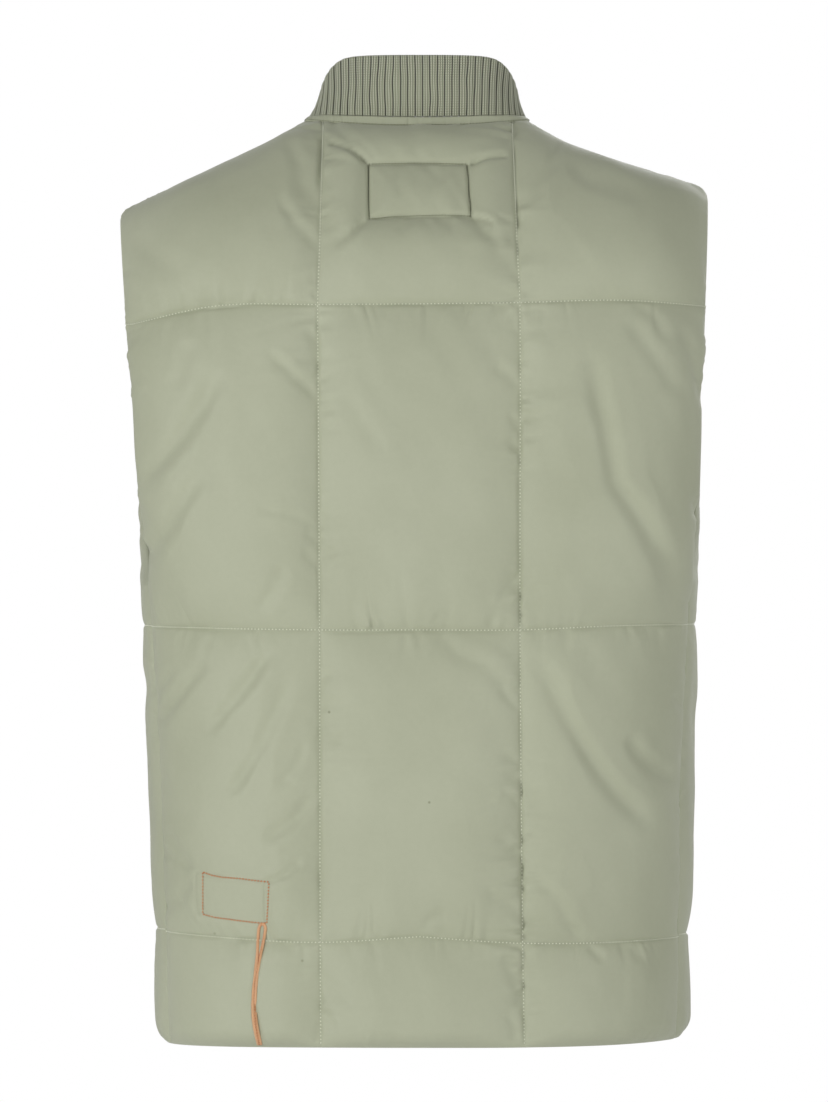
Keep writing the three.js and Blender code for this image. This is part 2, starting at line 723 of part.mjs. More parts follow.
// A place on the zip line at a distance up from the hem or down from the neck
function zipPlace(distance) {
  const line = distance >= 0 ? zipLine : [...zipLine].reverse();
  let left = Math.abs(distance);
  for (let i = 1; i < line.length; i += 1) {
    const span = line[i].point.distanceTo(line[i - 1].point);
    if (left <= span) {
      const t = left / span;
      const point = line[i - 1].point.clone().lerp(line[i].point, t);
      const up = line[i - 1].up.clone().lerp(line[i].up, t).normalize();
      return { point, up, out: new THREE.Vector3(0, -up.z, up.y) };
    }
    left -= span;
  }
  return line.at(-1);
}

const sliderDown = 17;
const sliderHalfLength = 5.5;

function zipChain() {
  const low = zipPlace(chainStart);
  const high = zipPlace(-(sliderDown - sliderHalfLength - 1));
  const between = zipRows.filter(({ point }) => point.z > low.point.z + 2 && point.z < high.point.z - 2);
  return zipStrip(-chainHalf, chainHalf, chainBack - chainThickness, chainBack, [low, ...between, high]);
}

function zipBox() {
  return zipStrip(-boxHalf, boxHalf, -boxProud, chainBack, [zipPlace(0.5), zipPlace(boxHeight)]);
}

// Solids for the slider, joined from simple blocks
function asSolid(geometry) {
  const bare = geometry.clone();
  bare.deleteAttribute('normal');
  bare.deleteAttribute('uv');
  const merged = mergeVertices(bare, 1e-4);
  return new wasm.Manifold(new wasm.Mesh({
    numProp: 3,
    vertProperties: new Float32Array(merged.attributes.position.array),
    triVerts: new Uint32Array(merged.index.array),
  }));
}

function asGeometry(solid) {
  const mesh = solid.getMesh();
  const geometry = new THREE.BufferGeometry();
  geometry.setAttribute('position', new THREE.BufferAttribute(mesh.vertProperties, 3));
  geometry.setIndex(new THREE.BufferAttribute(mesh.triVerts, 1));
  return geometry;
}

// The slider in its own frame: x across, y out of the cloth, z up along the zip
const plateHalf = 4.7;
const plateThickness = 1.4;
const plateGap = 0.35;
const archHalf = 1;
const archReach = 3.3;
const archOpening = 2.1;
const archBar = 1.1;
const archRoot = 0.3;
const flangeClearance = 0.3;
const pivotOut = 1.05;
const crossBarHalf = 0.65;

function sliderPlateTop() {
  return -(chainBack - chainThickness) + plateGap + plateThickness;
}

function linkedShape(points) {
  return new THREE.Shape(points.map(([x, y]) => new THREE.Vector2(x, y)));
}

function plate(outline, depth) {
  return new THREE.ExtrudeGeometry(outline, { depth, bevelEnabled: false, curveSegments: 4 });
}

// The front plate is narrower where the teeth leave it, below and above
function sliderPlate(top) {
  const low = [plateHalf * 0.7, -sliderHalfLength];
  const lowShoulder = [plateHalf, -sliderHalfLength * 0.4];
  const highShoulder = [plateHalf, sliderHalfLength * 0.7];
  const high = [plateHalf * 0.55, sliderHalfLength];
  const oneSide = [low, lowShoulder, highShoulder, high];
  const otherSide = oneSide.map(([x, y]) => [-x, y]).reverse();
  const outline = linkedShape([...oneSide, ...otherSide]);
  return plate(outline, plateThickness).rotateX(Math.PI / 2).translate(0, top, 0);
}

// A flange reaches back along the teeth on each side
function sliderFlange(top, sign) {
  const width = plateHalf - chainHalf - plateGap;
  const depth = top + chainBack - flangeClearance;
  const flange = new THREE.BoxGeometry(width, depth, sliderHalfLength * 1.1);
  return flange.translate(sign * (plateHalf - width / 2), top - depth / 2, sliderHalfLength * 0.15);
}

// The arch stands on the plate, and the pull's cross bar lies under it
function sliderArch(top) {
  const reach = archReach + archBar;
  const height = archOpening + archBar;
  const arch = new THREE.Shape();
  arch.moveTo(-reach, -archRoot);
  arch.lineTo(reach, -archRoot);
  arch.lineTo(reach, archOpening * 0.6);
  arch.quadraticCurveTo(reach, height, archReach * 0.5, height);
  arch.lineTo(-archReach * 0.5, height);
  arch.quadraticCurveTo(-reach, height, -reach, archOpening * 0.6);
  arch.closePath();
  const under = [[archReach, 0.001], [archReach, archOpening * 0.7], [archReach * 0.6, archOpening]];
  const otherSide = under.map(([x, y]) => [-x, y]);
  arch.holes.push(linkedShape([...otherSide, ...under.reverse()]));
  return plate(arch, archHalf * 2).translate(0, 0, -archHalf).rotateY(-Math.PI / 2).translate(0, top, 0);
}

function sliderBody() {
  const top = sliderPlateTop();
  const parts = [sliderPlate(top), sliderFlange(top, -1), sliderFlange(top, 1), sliderArch(top)];
  return asGeometry(parts.map(asSolid).reduce((whole, part) => whole.add(part)));
}

// The pull tab hangs from a cross bar under the arch. Its origin is the bar's middle.
const pullLength = 27;
const pullHalf = 3.4;
const pullThickness = 1.3;
const pullCorner = 2;
const windowHalf = 1.7;
const windowLength = 5.6;
const loopHalf = 2.7;
const loopLength = 4.8;
const neckLength = 8;

function pullTab() {
  const outline = new THREE.Shape();
  outline.moveTo(-loopHalf, crossBarHalf);
  outline.lineTo(loopHalf, crossBarHalf);
  outline.lineTo(loopHalf, -loopLength);
  outline.lineTo(pullHalf, -neckLength);
  outline.lineTo(pullHalf, -pullLength + pullCorner);
  outline.quadraticCurveTo(pullHalf, -pullLength, pullHalf - pullCorner, -pullLength);
  outline.lineTo(-pullHalf + pullCorner, -pullLength);
  outline.quadraticCurveTo(-pullHalf, -pullLength, -pullHalf, -pullLength + pullCorner);
  outline.lineTo(-pullHalf, -neckLength);
  outline.lineTo(-loopHalf, -loopLength);
  outline.closePath();
  outline.holes.push(linkedShape([
    [-windowHalf, -crossBarHalf], [-windowHalf, -windowLength],
    [windowHalf, -windowLength], [windowHalf, -crossBarHalf],
  ]));
  return plate(outline, pullThickness).translate(0, 0, -pullThickness / 2).rotateX(Math.PI / 2);
}

// The point of a grid's faces that lies straight behind a place seen from the back
function surfaceDepth(grid, x, z) {
  let found = null;
  for (let i = 0; i + 1 < grid.length; i += 1) {
    for (let j = 0; j + 1 < grid[i].length; j += 1) {
      const [a, b, c, d] = [grid[i][j], grid[i + 1][j], grid[i + 1][j + 1], grid[i][j + 1]];
      for (const [p, q, r] of [[a, b, c], [a, c, d]]) {
        const area = (q.x - p.x) * (r.z - p.z) - (r.x - p.x) * (q.z - p.z);
        const u = ((x - p.x) * (r.z - p.z) - (r.x - p.x) * (z - p.z)) / area;
        const v = ((q.x - p.x) * (z - p.z) - (x - p.x) * (q.z - p.z)) / area;
        if (u >= -1e-9 && v >= -1e-9 && u + v <= 1 + 1e-9) {
          const y = p.y + u * (q.y - p.y) + v * (r.y - p.y);
          if (found === null || y > found) found = y;
        }
      }
    }
  }
  return found;
}

function bindingStrip() {
  const from = slitBinding[0].z;
  const to = slitBinding.at(-1).z;
  const table = [...slitBinding].reverse();
  const lines = [-1, 0, 1].map((edge) => Array.from({ length: bindingSteps + 1 }, (_, i) => {
    const z = lerp(from, to, i / bindingSteps);
    const x = read(table, 'z', 'x', z) + edge * read(table, 'z', 'width', z) / 2;
    return new THREE.Vector3(x, surfaceDepth(backCloth.outer, x, z), z);
  }));
  const lifted = (amount) => lines.map((line) => line.map((p) => p.clone().setY(p.y + amount)));
  return wall(lifted(laidGap + bindingThickness), lifted(laidGap));
}

const shellCloth = new THREE.MeshStandardMaterial({ color: 0xa9ad92, roughness: 0.75, metalness: 0 });
const ribKnit = new THREE.MeshStandardMaterial({ color: 0x9ca088, roughness: 0.95, metalness: 0 });
const orangeBinding = new THREE.MeshStandardMaterial({ color: 0xcf9468, roughness: 0.8, metalness: 0 });
const zipTapeCloth = new THREE.MeshStandardMaterial({ color: 0x8f947b, roughness: 0.9, metalness: 0 });
const zipMetal = new THREE.MeshStandardMaterial({ color: 0x8c8a84, roughness: 0.35, metalness: 1 });

function piece(name, geometry, material) {
  const mesh = new THREE.Mesh(geometry, material);
  mesh.name = name;
  return mesh;
}

const vest = new THREE.Group();
vest.add(piece('back', wall(backCloth.outer, coarse(backCloth.inner)), shellCloth));
vest.add(piece('front_left', wall(frontCloth.left.outer, coarse(frontCloth.left.inner)), shellCloth));
vest.add(piece('front_right', wall(frontCloth.right.outer, coarse(frontCloth.right.inner)), shellCloth));
vest.add(piece('neck_band', neckBand(), shellCloth));
vest.add(piece('rib_collar', ribCollar(), ribKnit));
vest.add(piece('slit_binding', bindingStrip(), orangeBinding));
vest.add(piece('zip_tape_left', zipTape(1), zipTapeCloth));
vest.add(piece('zip_tape_right', zipTape(-1), zipTapeCloth));
vest.add(piece('zip_chain', zipChain(), zipMetal));
vest.add(piece('zip_box', zipBox(), zipMetal));

// The slider stands near the top of the zip, and the tab hangs from it against the cloth
const sliderPlace = zipPlace(-sliderDown);
const slider = new THREE.Group();
slider.position.copy(sliderPlace.point);
slider.quaternion.setFromRotationMatrix(new THREE.Matrix4().makeBasis(
  new THREE.Vector3(-1, 0, 0), sliderPlace.out, sliderPlace.up,
));
slider.add(piece('zip_slider', sliderBody(), zipMetal));
const pull = piece('zip_pull', pullTab(), zipMetal);
pull.position.set(0, sliderPlateTop() + pivotOut, 0);
slider.add(pull);
vest.add(slider);

export default vest;
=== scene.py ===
"""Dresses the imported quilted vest: filled cloth panels, ribbed collar, stitching, slit binding and zip."""
import math

import bpy
import numpy as np
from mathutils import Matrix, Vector
from mathutils.bvhtree import BVHTree


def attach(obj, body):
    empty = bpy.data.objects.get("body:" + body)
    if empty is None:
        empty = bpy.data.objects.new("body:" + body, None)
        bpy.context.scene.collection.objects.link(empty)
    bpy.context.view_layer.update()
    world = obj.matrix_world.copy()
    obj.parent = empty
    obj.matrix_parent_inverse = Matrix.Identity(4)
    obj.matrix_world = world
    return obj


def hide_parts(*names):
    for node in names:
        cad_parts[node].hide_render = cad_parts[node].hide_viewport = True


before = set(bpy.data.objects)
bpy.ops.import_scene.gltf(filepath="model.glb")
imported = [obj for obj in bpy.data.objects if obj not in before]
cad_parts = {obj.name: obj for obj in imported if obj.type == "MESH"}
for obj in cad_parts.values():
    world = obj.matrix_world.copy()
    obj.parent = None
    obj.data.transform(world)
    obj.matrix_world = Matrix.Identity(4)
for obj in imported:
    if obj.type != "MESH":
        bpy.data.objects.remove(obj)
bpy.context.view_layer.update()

MM = 0.001
BACK, FRONT = 1, -1

# The photograph's view, in millimetres: a long way behind the vest, level with its middle
EYE = (3.8, 8000.0, -326.0)
PHOTO_SCALE = 0.76
PHOTO_AXIS_PX = 419.0
PHOTO_BASE_PX = 122.0
SENSOR_MM = 36.0
PHOTO_HEIGHT_PX = 1102

# Cloth
SEAM_WALL = 3.2
PUFF = 9.0
SEAM_REACH = 58.0
EDGE_REACH = 16.0
PINCH_REACH = 30.0
PUFF_POWER = 2.4
SIDE_FILLING = 0.2
SIDE_BREADTH = 100.0
SIDE_HOLD = 0.3
SIDE_INSET = 2.4
FACE_INSET = 6.8
HALF_GAP = 0.2
LAID_GAP = 0.4

# Neck and collar
NECK_HALF = {"left": 85.9, "right": 82.8}
NECK_BACK_DEPTH = 40.0
NECK_FRONT_DEPTH = 78.0
NECK_FRONT_DROP = 70.0
NECK_BACK_DIP = 4.0
NECK_POINT_HEIGHT = 1.0
NECK_SQUARENESS = 2.3
COLLAR_TOP_HALF = 76.0
COLLAR_TOP_BACK = 33.0
COLLAR_TOP_SIDE = -30.0
COLLAR_TOP_FRONT = -98.0
COLLAR_TOP_HEIGHT = 50.0
COLLAR_TOP_TILT = 0.78
COLLAR_TILT_START = 19.0
COLLAR_TOP_SQUARENESS = 2.6
COLLAR_WALL = 4.6
COLLAR_CORNER = 10.0
COLLAR_QUARTER_LENGTH = 140.0
RIB_DEPTH = 1.5
RIBS_BACK_QUARTER = 17.0
RIBS_FRONT_QUARTER = 20.5
BAND_HEIGHT = 6.4
BAND_WALL = 2.6
NECK_SINK = 0.9

# Zip
OPENING_HALF = 5.5
CHAIN_HALF = 2.9
TAPE_INNER = 0.2
TAPE_OUTER = 15.0
TAPE_THICKNESS = 1.0

SIDE_SEAM_DEPTH = 40.0
UNDERARM = 0.135

SECTION_Z = [-705, -590, -480, -380, -345, -312, -280, -180, -90]
SECTION = {
    "left": [194.5, 198.5, 202, 207.5, 207, 213.5, 220, 230.5, 231],
    "right": [201, 203, 204.5, 208.5, 208.5, 213.2, 218.8, 226.5, 224],
    "back": [131, 133, 134, 135, 134.5, 134.3, 134, 130, 122],
    "front": [126, 130, 131, 131, 130, 129, 128, 122, 114],
    "square": [2.5, 2.5, 2.5, 2.7, 3.2, 3.6, 3.6, 3.3, 3.4],
}
LINE_X = [0, 75, 150, 215]
LINE_Z = {
    ("left", BACK): [
        [-697, -697, -697.5, -698], [-614.5, -619, -616, -611],
        [-385, -385, -384, -382], [-141, -141.5, -142, -155],
    ],
    ("right", BACK): [
        [-697, -697, -696, -693], [-614.5, -619.5, -619.5, -616],
        [-385, -385, -382, -381], [-141, -140, -138, -141.5],
    ],
    ("left", FRONT): [
        [-697, -697, -697.4, -698], [-615, -615, -613.4, -611],
        [-383, -383, -382.6, -382], [-143, -143, -147.8, -155],
    ],
    ("right", FRONT): [
        [-697, -697, -695.4, -693], [-615, -615, -615.4, -616],
        [-383, -383, -382.2, -381], [-143, -143, -142.4, -141.5],
    ],
}
UPRIGHT_Z = [-705, -620, -385, -141, -80, 0]
UPRIGHT = {"left": [73.5, 74, 74.5, 76, 77, 73.3], "right": [79, 77.5, 75.5, 75.5, 73.2, 71.2]}
SHOULDER_TIP = {"left": 227.0, "right": 219.5}
SHOULDER_OUT = [0, 0.08, 0.18, 0.35, 0.53, 0.71, 0.89, 0.97, 1]
SHOULDER = {
    "left": [1, -6, -14.5, -26, -38, -49.5, -61.5, -67, -73],
    "right": [1, -7, -15, -24.5, -32, -39.5, -46, -50.5, -57.5],
}
ARMHOLE_UP = [UNDERARM, 0.165, 0.205, 0.26, 0.37, 0.54, 0.78, 1]
ARMHOLE = {BACK: [40, 45, 51, 57, 63, 67, 68, 61], FRONT: [40, 23, 3, -20, -46, -62, -67, -58]}
NECK_SHARE = {BACK: 0.865, FRONT: 0.78}
CELL_HEIGHTS = [80.0, 235.0, 240.0, 135.0]
HALF_MIDDLE = 75.0
FRONT_MIDDLE = 70.0
SIDE_CELL = 200.0


def lerp(a, b, t):
    return a + (b - a) * t


def smooth(t):
    t = np.clip(t, 0, 1)
    return t * t * (3 - 2 * t)


def curve(keys, values, at):
    """Reads a smooth curve through (keys, values) at the given places."""
    keys, values, at = (np.asarray(v, float) for v in (keys, values, at))
    last = len(keys) - 1
    index = np.arange(last + 1)
    before, after = np.maximum(index - 1, 0), np.minimum(index + 1, last)
    slopes = (values[after] - values[before]) / (keys[after] - keys[before])
    i = np.clip(np.searchsorted(keys[1:last], at, side="left"), 0, last - 1)
    span = keys[i + 1] - keys[i]
    t = np.clip((at - keys[i]) / span, 0, 1)
    start = values[i] * (1 + 2 * t) * (1 - t) ** 2 + slopes[i] * span * t * (1 - t) ** 2
    end = values[i + 1] * t * t * (3 - 2 * t) - slopes[i + 1] * span * t * t * (1 - t)
    return start + end


def section(z, side, front):
    a = curve(SECTION_Z, SECTION[side], z) - SIDE_INSET
    deep = np.where(front, curve(SECTION_Z, SECTION["front"], z), curve(SECTION_Z, SECTION["back"], z))
    return a, deep - FACE_INSET, curve(SECTION_Z, SECTION["square"], z)


def width_at(z, side, y):
    a, b, n = section(z, side, y < 0)
    return a * (1 - np.abs(y / b) ** n) ** (1 / n)


def depth_at(z, side, x, facing):
    a, b, n = section(z, side, facing < 0)
    return facing * b * (1 - np.abs(x / a) ** n) ** (1 / n)


def around(z, side, angle):
    """A level section's point at an angle from the middle of the back."""
    a, b, n = section(z, side, np.cos(angle) < 0)
    reach = (np.abs(np.sin(angle) / a) ** n + np.abs(np.cos(angle) / b) ** n) ** (-1 / n)
    return reach * np.sin(angle), reach * np.cos(angle)


def along_section(z, side, start, end, share):
    """The point at a share of the section's length between two angles."""
    steps = np.linspace(0, 1, 41)
    z, start, end, share = np.broadcast_arrays(z, start, end, share)
    angles = lerp(start[..., None], end[..., None], steps)
    x, y = around(z[..., None], side, angles)
    lengths = np.concatenate(
        [np.zeros(x.shape[:-1] + (1,)), np.cumsum(np.hypot(np.diff(x), np.diff(y)), -1)], -1
    )
    wanted = share * lengths[..., -1]
    i = np.clip((lengths < wanted[..., None]).sum(-1), 1, len(steps) - 1)[..., None]
    low = np.take_along_axis(lengths, i - 1, -1)[..., 0]
    high = np.take_along_axis(lengths, i, -1)[..., 0]
    t = (i[..., 0] - 1 + (wanted - low) / (high - low)) / (len(steps) - 1)
    return around(z, side, lerp(start, end, t))


def line_height(row, side, x, facing):
    return curve(LINE_X, LINE_Z[side, facing][row], np.abs(x))


def neck_at(side, x, facing):
    half = NECK_HALF[side]
    if facing == BACK:
        y = NECK_BACK_DEPTH * (1 - (x / half) ** NECK_SQUARENESS) ** (1 / NECK_SQUARENESS)
        return y, lerp(-NECK_BACK_DIP, NECK_POINT_HEIGHT, (x / half) ** 2)
    sine = np.sin(np.arccos(np.clip(x / half, -1, 1)))
    return -NECK_FRONT_DEPTH * sine, NECK_POINT_HEIGHT - NECK_FRONT_DROP * sine**1.4


def shoulder_at(side, out):
    sink = NECK_SINK * np.clip(1 - out / 0.03, 0, 1)
    return lerp(NECK_HALF[side], SHOULDER_TIP[side], out), curve(SHOULDER_OUT, SHOULDER[side], out) - sink


def top_point(facing, side, share, middle):
    """A point of a panel's top edge: the shoulder seam, then the neck."""
    line_x = curve(UPRIGHT_Z, UPRIGHT[side], 0)
    if middle:
        x = lerp(line_x, 0 if facing == BACK else OPENING_HALF, share)
        y, z = neck_at(side, x, facing)
        return x, y, z - NECK_SINK
    neck_share = NECK_SHARE[facing]
    out = np.clip(1 - share / neck_share, 0, 1)
    shoulder_x, shoulder_z = shoulder_at(side, out)
    t = np.clip((share - neck_share) / (1 - neck_share), 0, 1)
    neck_x = lerp(NECK_HALF[side], line_x, t**1.6)
    neck_y, neck_z = neck_at(side, neck_x, facing)
    on_neck = share > neck_share
    return (
        np.where(on_neck, neck_x, shoulder_x),
        np.where(on_neck, neck_y, 0),
        np.where(on_neck, neck_z - NECK_SINK, shoulder_z),
    )


def body_point(facing, side, row, row_share, share, middle):
    """A point of the seam surface below the yoke line."""
    def height(x):
        return lerp(line_height(row, side, x, facing), line_height(row + 1, side, x, facing), row_share)

    side_z, line_z = height(LINE_X[3]), height(LINE_X[1])
    line_x = curve(UPRIGHT_Z, UPRIGHT[side], line_z)
    if middle:
        x = lerp(line_x, 0 if facing == BACK else OPENING_HALF, share)
        z = height(x)
        return x, depth_at(z, side, x, facing), z
    edge_y = np.full_like(row_share, SIDE_SEAM_DEPTH)
    if row == 2:
        edge_y = np.where(row_share > UNDERARM, curve(ARMHOLE_UP, ARMHOLE[facing], row_share), edge_y)
    edge_angle = np.arctan2(width_at(side_z, side, edge_y), edge_y)
    line_angle = np.arctan2(line_x, depth_at(line_z, side, line_x, facing))
    rough_x, _ = along_section(side_z, side, edge_angle, line_angle, share)
    z = height(rough_x)
    x, y = along_section(z, side, edge_angle, line_angle, share)
    return x, y, z


def yoke_point(facing, side, row_share, share, middle):
    """A point of the yoke, which rounds over from the yoke line to the shoulder seam or the neck."""
    low = body_point(facing, side, 2, np.ones_like(row_share), share, middle)
    top = top_point(facing, side, share, middle)
    fall = 1 - np.sin(row_share * math.pi / 2)
    neckward = 1 if middle else np.clip((share - 0.45) / (NECK_SHARE[facing] - 0.45), 0, 1)
    roundness = lerp(2, 1.6 if facing == BACK else 1.4, neckward)
    risen = (1 - (1 - fall) ** roundness) ** (1 / roundness)
    return lerp(top[0], low[0], fall), lerp(top[1], low[1], risen), lerp(top[2], low[2], fall)


def rise(distance, reach):
    return 1 - (1 - np.clip(distance / reach, 0, 1)) ** PUFF_POWER


def noise_line(seed, at, step):
    """Smooth uneven numbers from -1 to 1 along a line, one new value each step."""
    values = np.random.default_rng(seed).uniform(-1, 1, 1024)
    place = np.asarray(at, float) / step + 300
    i = np.floor(place).astype(int)
    return lerp(values[i % 1024], values[(i + 1) % 1024], smooth(place - i))


def noise_plane(seed, s, t, step_s, step_t):
    values = np.random.default_rng(seed).uniform(-1, 1, (256, 256))
    a, b = s / step_s + 60, t / step_t + 60
    i, j = np.floor(a).astype(int), np.floor(b).astype(int)
    u, v = smooth(a - i), smooth(b - j)
    i, j, k, m = i % 256, j % 256, (i + 1) % 256, (j + 1) % 256
    return lerp(lerp(values[i, j], values[k, j], u), lerp(values[i, m], values[k, m], u), v)


def from_photo(px, py):
    """A place in the photograph as millimetres across and up, in the plane through the neck points."""
    return (PHOTO_AXIS_PX - px) * PHOTO_SCALE, (PHOTO_BASE_PX - py) * PHOTO_SCALE


def as_seen(points):
    """Where the photograph's camera sees points, in the same plane."""
    grow = EYE[1] / (EYE[1] - points[..., 1])
    return EYE[0] + (points[..., 0] - EYE[0]) * grow, EYE[2] + (points[..., 2] - EYE[2]) * grow


def to_path(x, z, path):
    """Distance from a line of points, signed by side, and the share of the line's length there."""
    best = np.full(np.shape(x), 1e9)
    share = np.zeros(np.shape(x))
    lengths = [math.dist(p, q) for p, q in zip(path, path[1:])]
    done = 0.0
    for (x0, z0), (x1, z1), length in zip(path, path[1:], lengths):
        dx, dz = (x1 - x0) / length, (z1 - z0) / length
        along = (x - x0) * dx + (z - z0) * dz
        kept = np.clip(along, 0, length)
        off = np.hypot(x - x0 - kept * dx, z - z0 - kept * dz)
        sign = np.where((x - x0) * dz - (z - z0) * dx >= 0, 1, -1)
        nearer = off < np.abs(best)
        best = np.where(nearer, off * sign, best)
        share = np.where(nearer, (done + along) / sum(lengths), share)
        done += length
    return best, share


# Creases and folds of the back as the photograph shows them: points in its pixels, depth and half width in mm
BACK_FOLDS = [
    ([(591, 365), (604, 430), (615, 484), (637, 517), (659, 560), (672, 604)], 4.8, 8),
    ([(678, 330), (693, 372), (700, 404)], 2.6, 5),
    ([(626, 322), (659, 372), (668, 392)], 1.4, 6),
    ([(540, 664), (556, 698), (570, 728), (589, 760), (612, 792), (640, 822)], 4.4, 7.5),
    ([(621, 737), (632, 756), (650, 770), (672, 780)], 2.8, 5.5),
    ([(667, 695), (678, 708)], 1.6, 4),
    ([(536, 879), (555, 898), (567, 923), (580, 940)], 2.0, 5),
    ([(588, 946), (601, 960)], 1.4, 3.5),
    ([(628, 944), (636, 960)], 1.2, 3.5),
    ([(218, 378), (204, 408), (182, 441), (148, 480)], 3.6, 7.5),
    ([(203, 476), (178, 518), (150, 558)], 3.0, 7),
    ([(193, 343), (188, 368), (180, 389)], 1.4, 6),
    ([(284, 567), (275, 588), (260, 608)], 2.0, 6),
    ([(272, 355), (297, 379), (317, 398)], 2.0, 4),
    ([(262, 508), (292, 514), (318, 528)], 1.0, 3.5),
    ([(308, 328), (317, 348)], 1.2, 4),
    ([(306, 532), (317, 541)], 1.2, 3.5),
    ([(304, 551), (317, 567)], 1.2, 3.5),
    ([(270, 652), (246, 690), (217, 729)], 3.4, 5.5),
    ([(290, 680), (268, 735), (240, 795)], 2.6, 6),
    ([(208, 665), (190, 690), (166, 720)], 2.8, 5),
    ([(182, 667), (170, 684), (158, 700)], 1.4, 3.5),
    ([(251, 765), (234, 795)], 1.4, 4),
    ([(312, 795), (296, 819), (266, 842)], 2.4, 4.5),
    ([(196, 880), (186, 898), (160, 912)], 1.8, 4.5),
    ([(306, 742), (296, 768), (280, 786)], 1.4, 3.5),
    ([(171, 828), (185, 849), (199, 869)], 1.6, 4),
    ([(162, 849), (180, 857), (197, 869)], 1.3, 3.5),
    ([(303, 860), (288, 874), (270, 881)], 2.2, 3.5),
    ([(334, 406), (321, 411)], 1.0, 3.5),
    ([(338, 547), (321, 562)], 1.2, 4),
    ([(343, 393), (362, 424), (384, 452)], 1.2, 7),
    ([(494, 365), (506, 374), (518, 387)], 1.3, 4.5),
    ([(509, 413), (520, 430)], 1.1, 3.5),
    ([(509, 439), (520, 456)], 1.2, 3.5),
    ([(515, 580), (502, 597)], 1.2, 4),
    ([(433, 625), (442, 614)], 0.9, 3.5),
    ([(437, 632), (459, 656), (485, 665), (513, 698)], 1.5, 6),
    ([(329, 669), (321, 680)], 1.0, 3.5),
    ([(342, 734), (323, 750)], 1.2, 4),
    ([(424, 927), (434, 918), (444, 912)], 1.2, 4.5),
    ([(500, 690), (511, 702), (519, 708)], 1.2, 3),
    ([(502, 752), (519, 763)], 1.2, 3),
    ([(500, 790), (512, 797), (520, 806)], 1.3, 3),
    ([(496, 838), (519, 850)], 1.3, 3.5),
    ([(487, 893), (506, 903), (520, 912)], 1.4, 4),
    ([(504, 960), (514, 980), (521, 1000)], 1.3, 4),
    ([(505, 1012), (513, 1025), (515, 1041)], 1.3, 3.5),
    ([(320, 975), (336, 990), (350, 1000)], 1.0, 4.5),
    ([(322, 1010), (335, 1030)], 1.0, 4),
    ([(640, 305), (654, 322), (660, 340)], 1.0, 4.5),
    ([(690, 498), (694, 517)], 2.4, 4.5),
    ([(688, 600), (692, 612)], 1.6, 4),
    ([(140, 240), (160, 262), (190, 275)], 1.2, 8),
    ([(560, 170), (590, 190), (640, 205)], 1.6, 9),
    ([(555, 148), (548, 172), (530, 196)], 2.2, 6),
    ([(290, 150), (303, 172), (305, 200)], 2.0, 6),
    ([(279, 205), (300, 232), (317, 246)], 1.6, 4.5),
    ([(330, 128), (345, 140), (352, 150)], 1.2, 4.5),
    ([(408, 128), (413, 140), (421, 150)], 1.0, 5),
    ([(368, 163), (350, 153), (328, 143)], 2.3, 2.4),
    ([(469, 164), (488, 160), (507, 157)], 2.2, 2.3),
    ([(471, 217), (483, 221), (494, 226)], 2.2, 2.3),
    ([(474, 223), (487, 235), (500, 248)], 1.4, 4),
    ([(366, 221), (352, 234), (334, 245)], 2.0, 3.6),
    ([(412, 217), (407, 226), (398, 233)], 1.0, 3.5),
    ([(436, 217), (443, 224), (455, 229)], 1.0, 3.5),
    ([(395, 172), (402, 184), (399, 196)], 0.9, 4),
    ([(447, 170), (436, 181), (430, 194)], 0.9, 4),
]

# Folds of the two fronts: x from the zip outwards and z in mm, then depth and half width
FRONT_FOLDS = {
    "left": [
        ([(196, -205), (181, -262), (150, -318), (128, -352)], 3.4, 9),
        ([(205, -420), (176, -458), (141, -486)], 3.0, 9),
        ([(92, -176), (104, -222), (112, -262)], 1.8, 7),
        ([(172, -500), (150, -548), (117, -583)], 2.4, 8),
        ([(84, -402), (101, -446)], 1.6, 5),
        ([(60, -250), (45, -276), (14, -300)], 1.6, 6),
        ([(64, -430), (40, -452), (12, -462)], 1.8, 5),
        ([(58, -560), (36, -585), (14, -596)], 1.4, 6),
        ([(150, -160), (143, -181), (120, -204)], 1.4, 6),
        ([(36, -106), (28, -124), (12, -133)], 1.6, 5),
        ([(120, -628), (133, -652), (141, -688)], 1.6, 6),
        ([(48, -632), (40, -658), (44, -688)], 1.3, 5),
    ],
    "right": [
        ([(190, -232), (168, -290), (150, -343), (120, -372)], 3.0, 9),
        ([(88, -400), (118, -452), (150, -476)], 2.6, 8),
        ([(198, -444), (180, -507), (152, -560)], 3.0, 9),
        ([(140, -165), (121, -206), (90, -236)], 1.8, 8),
        ([(84, -512), (106, -544), (112, -584)], 1.8, 6),
        ([(62, -196), (44, -222), (13, -236)], 1.6, 6),
        ([(66, -340), (38, -356), (12, -374)], 1.6, 5),
        ([(60, -480), (44, -506), (14, -524)], 1.6, 6),
        ([(38, -98), (26, -116), (11, -121)], 1.6, 5),
        ([(160, -626), (151, -660), (160, -688)], 1.4, 6),
        ([(90, -640), (102, -668)], 1.2, 4),
        ([(30, -640), (24, -664), (12, -676)], 1.2, 5),
    ],
}

# Stitched boxes and the slit, in the photograph's pixels
NECK_BOX = [(368, 164), (418, 163), (467, 164), (469, 190), (471, 216), (445, 215), (420, 215.5), (394, 216.5),
            (369, 219), (368.5, 190), (368, 164)]
ORANGE_BOX = [(203, 872), (212, 875), (222, 877), (241, 878.5), (269, 882), (268, 902), (267, 923), (258, 922.5),
              (235, 920), (215, 917), (203, 914), (203, 893), (203, 872)]
SLIT_CREASE = [(267, 931), (264.7, 946), (261.6, 961), (259.4, 973), (257.6, 987), (257.6, 997), (259, 1007),
               (263.7, 1030), (267, 1044)]
BOX_HALF = 37.8
BOX_TOP = -35.0
BOX_BOTTOM = -76.0
BOX_FILLING = 0.45


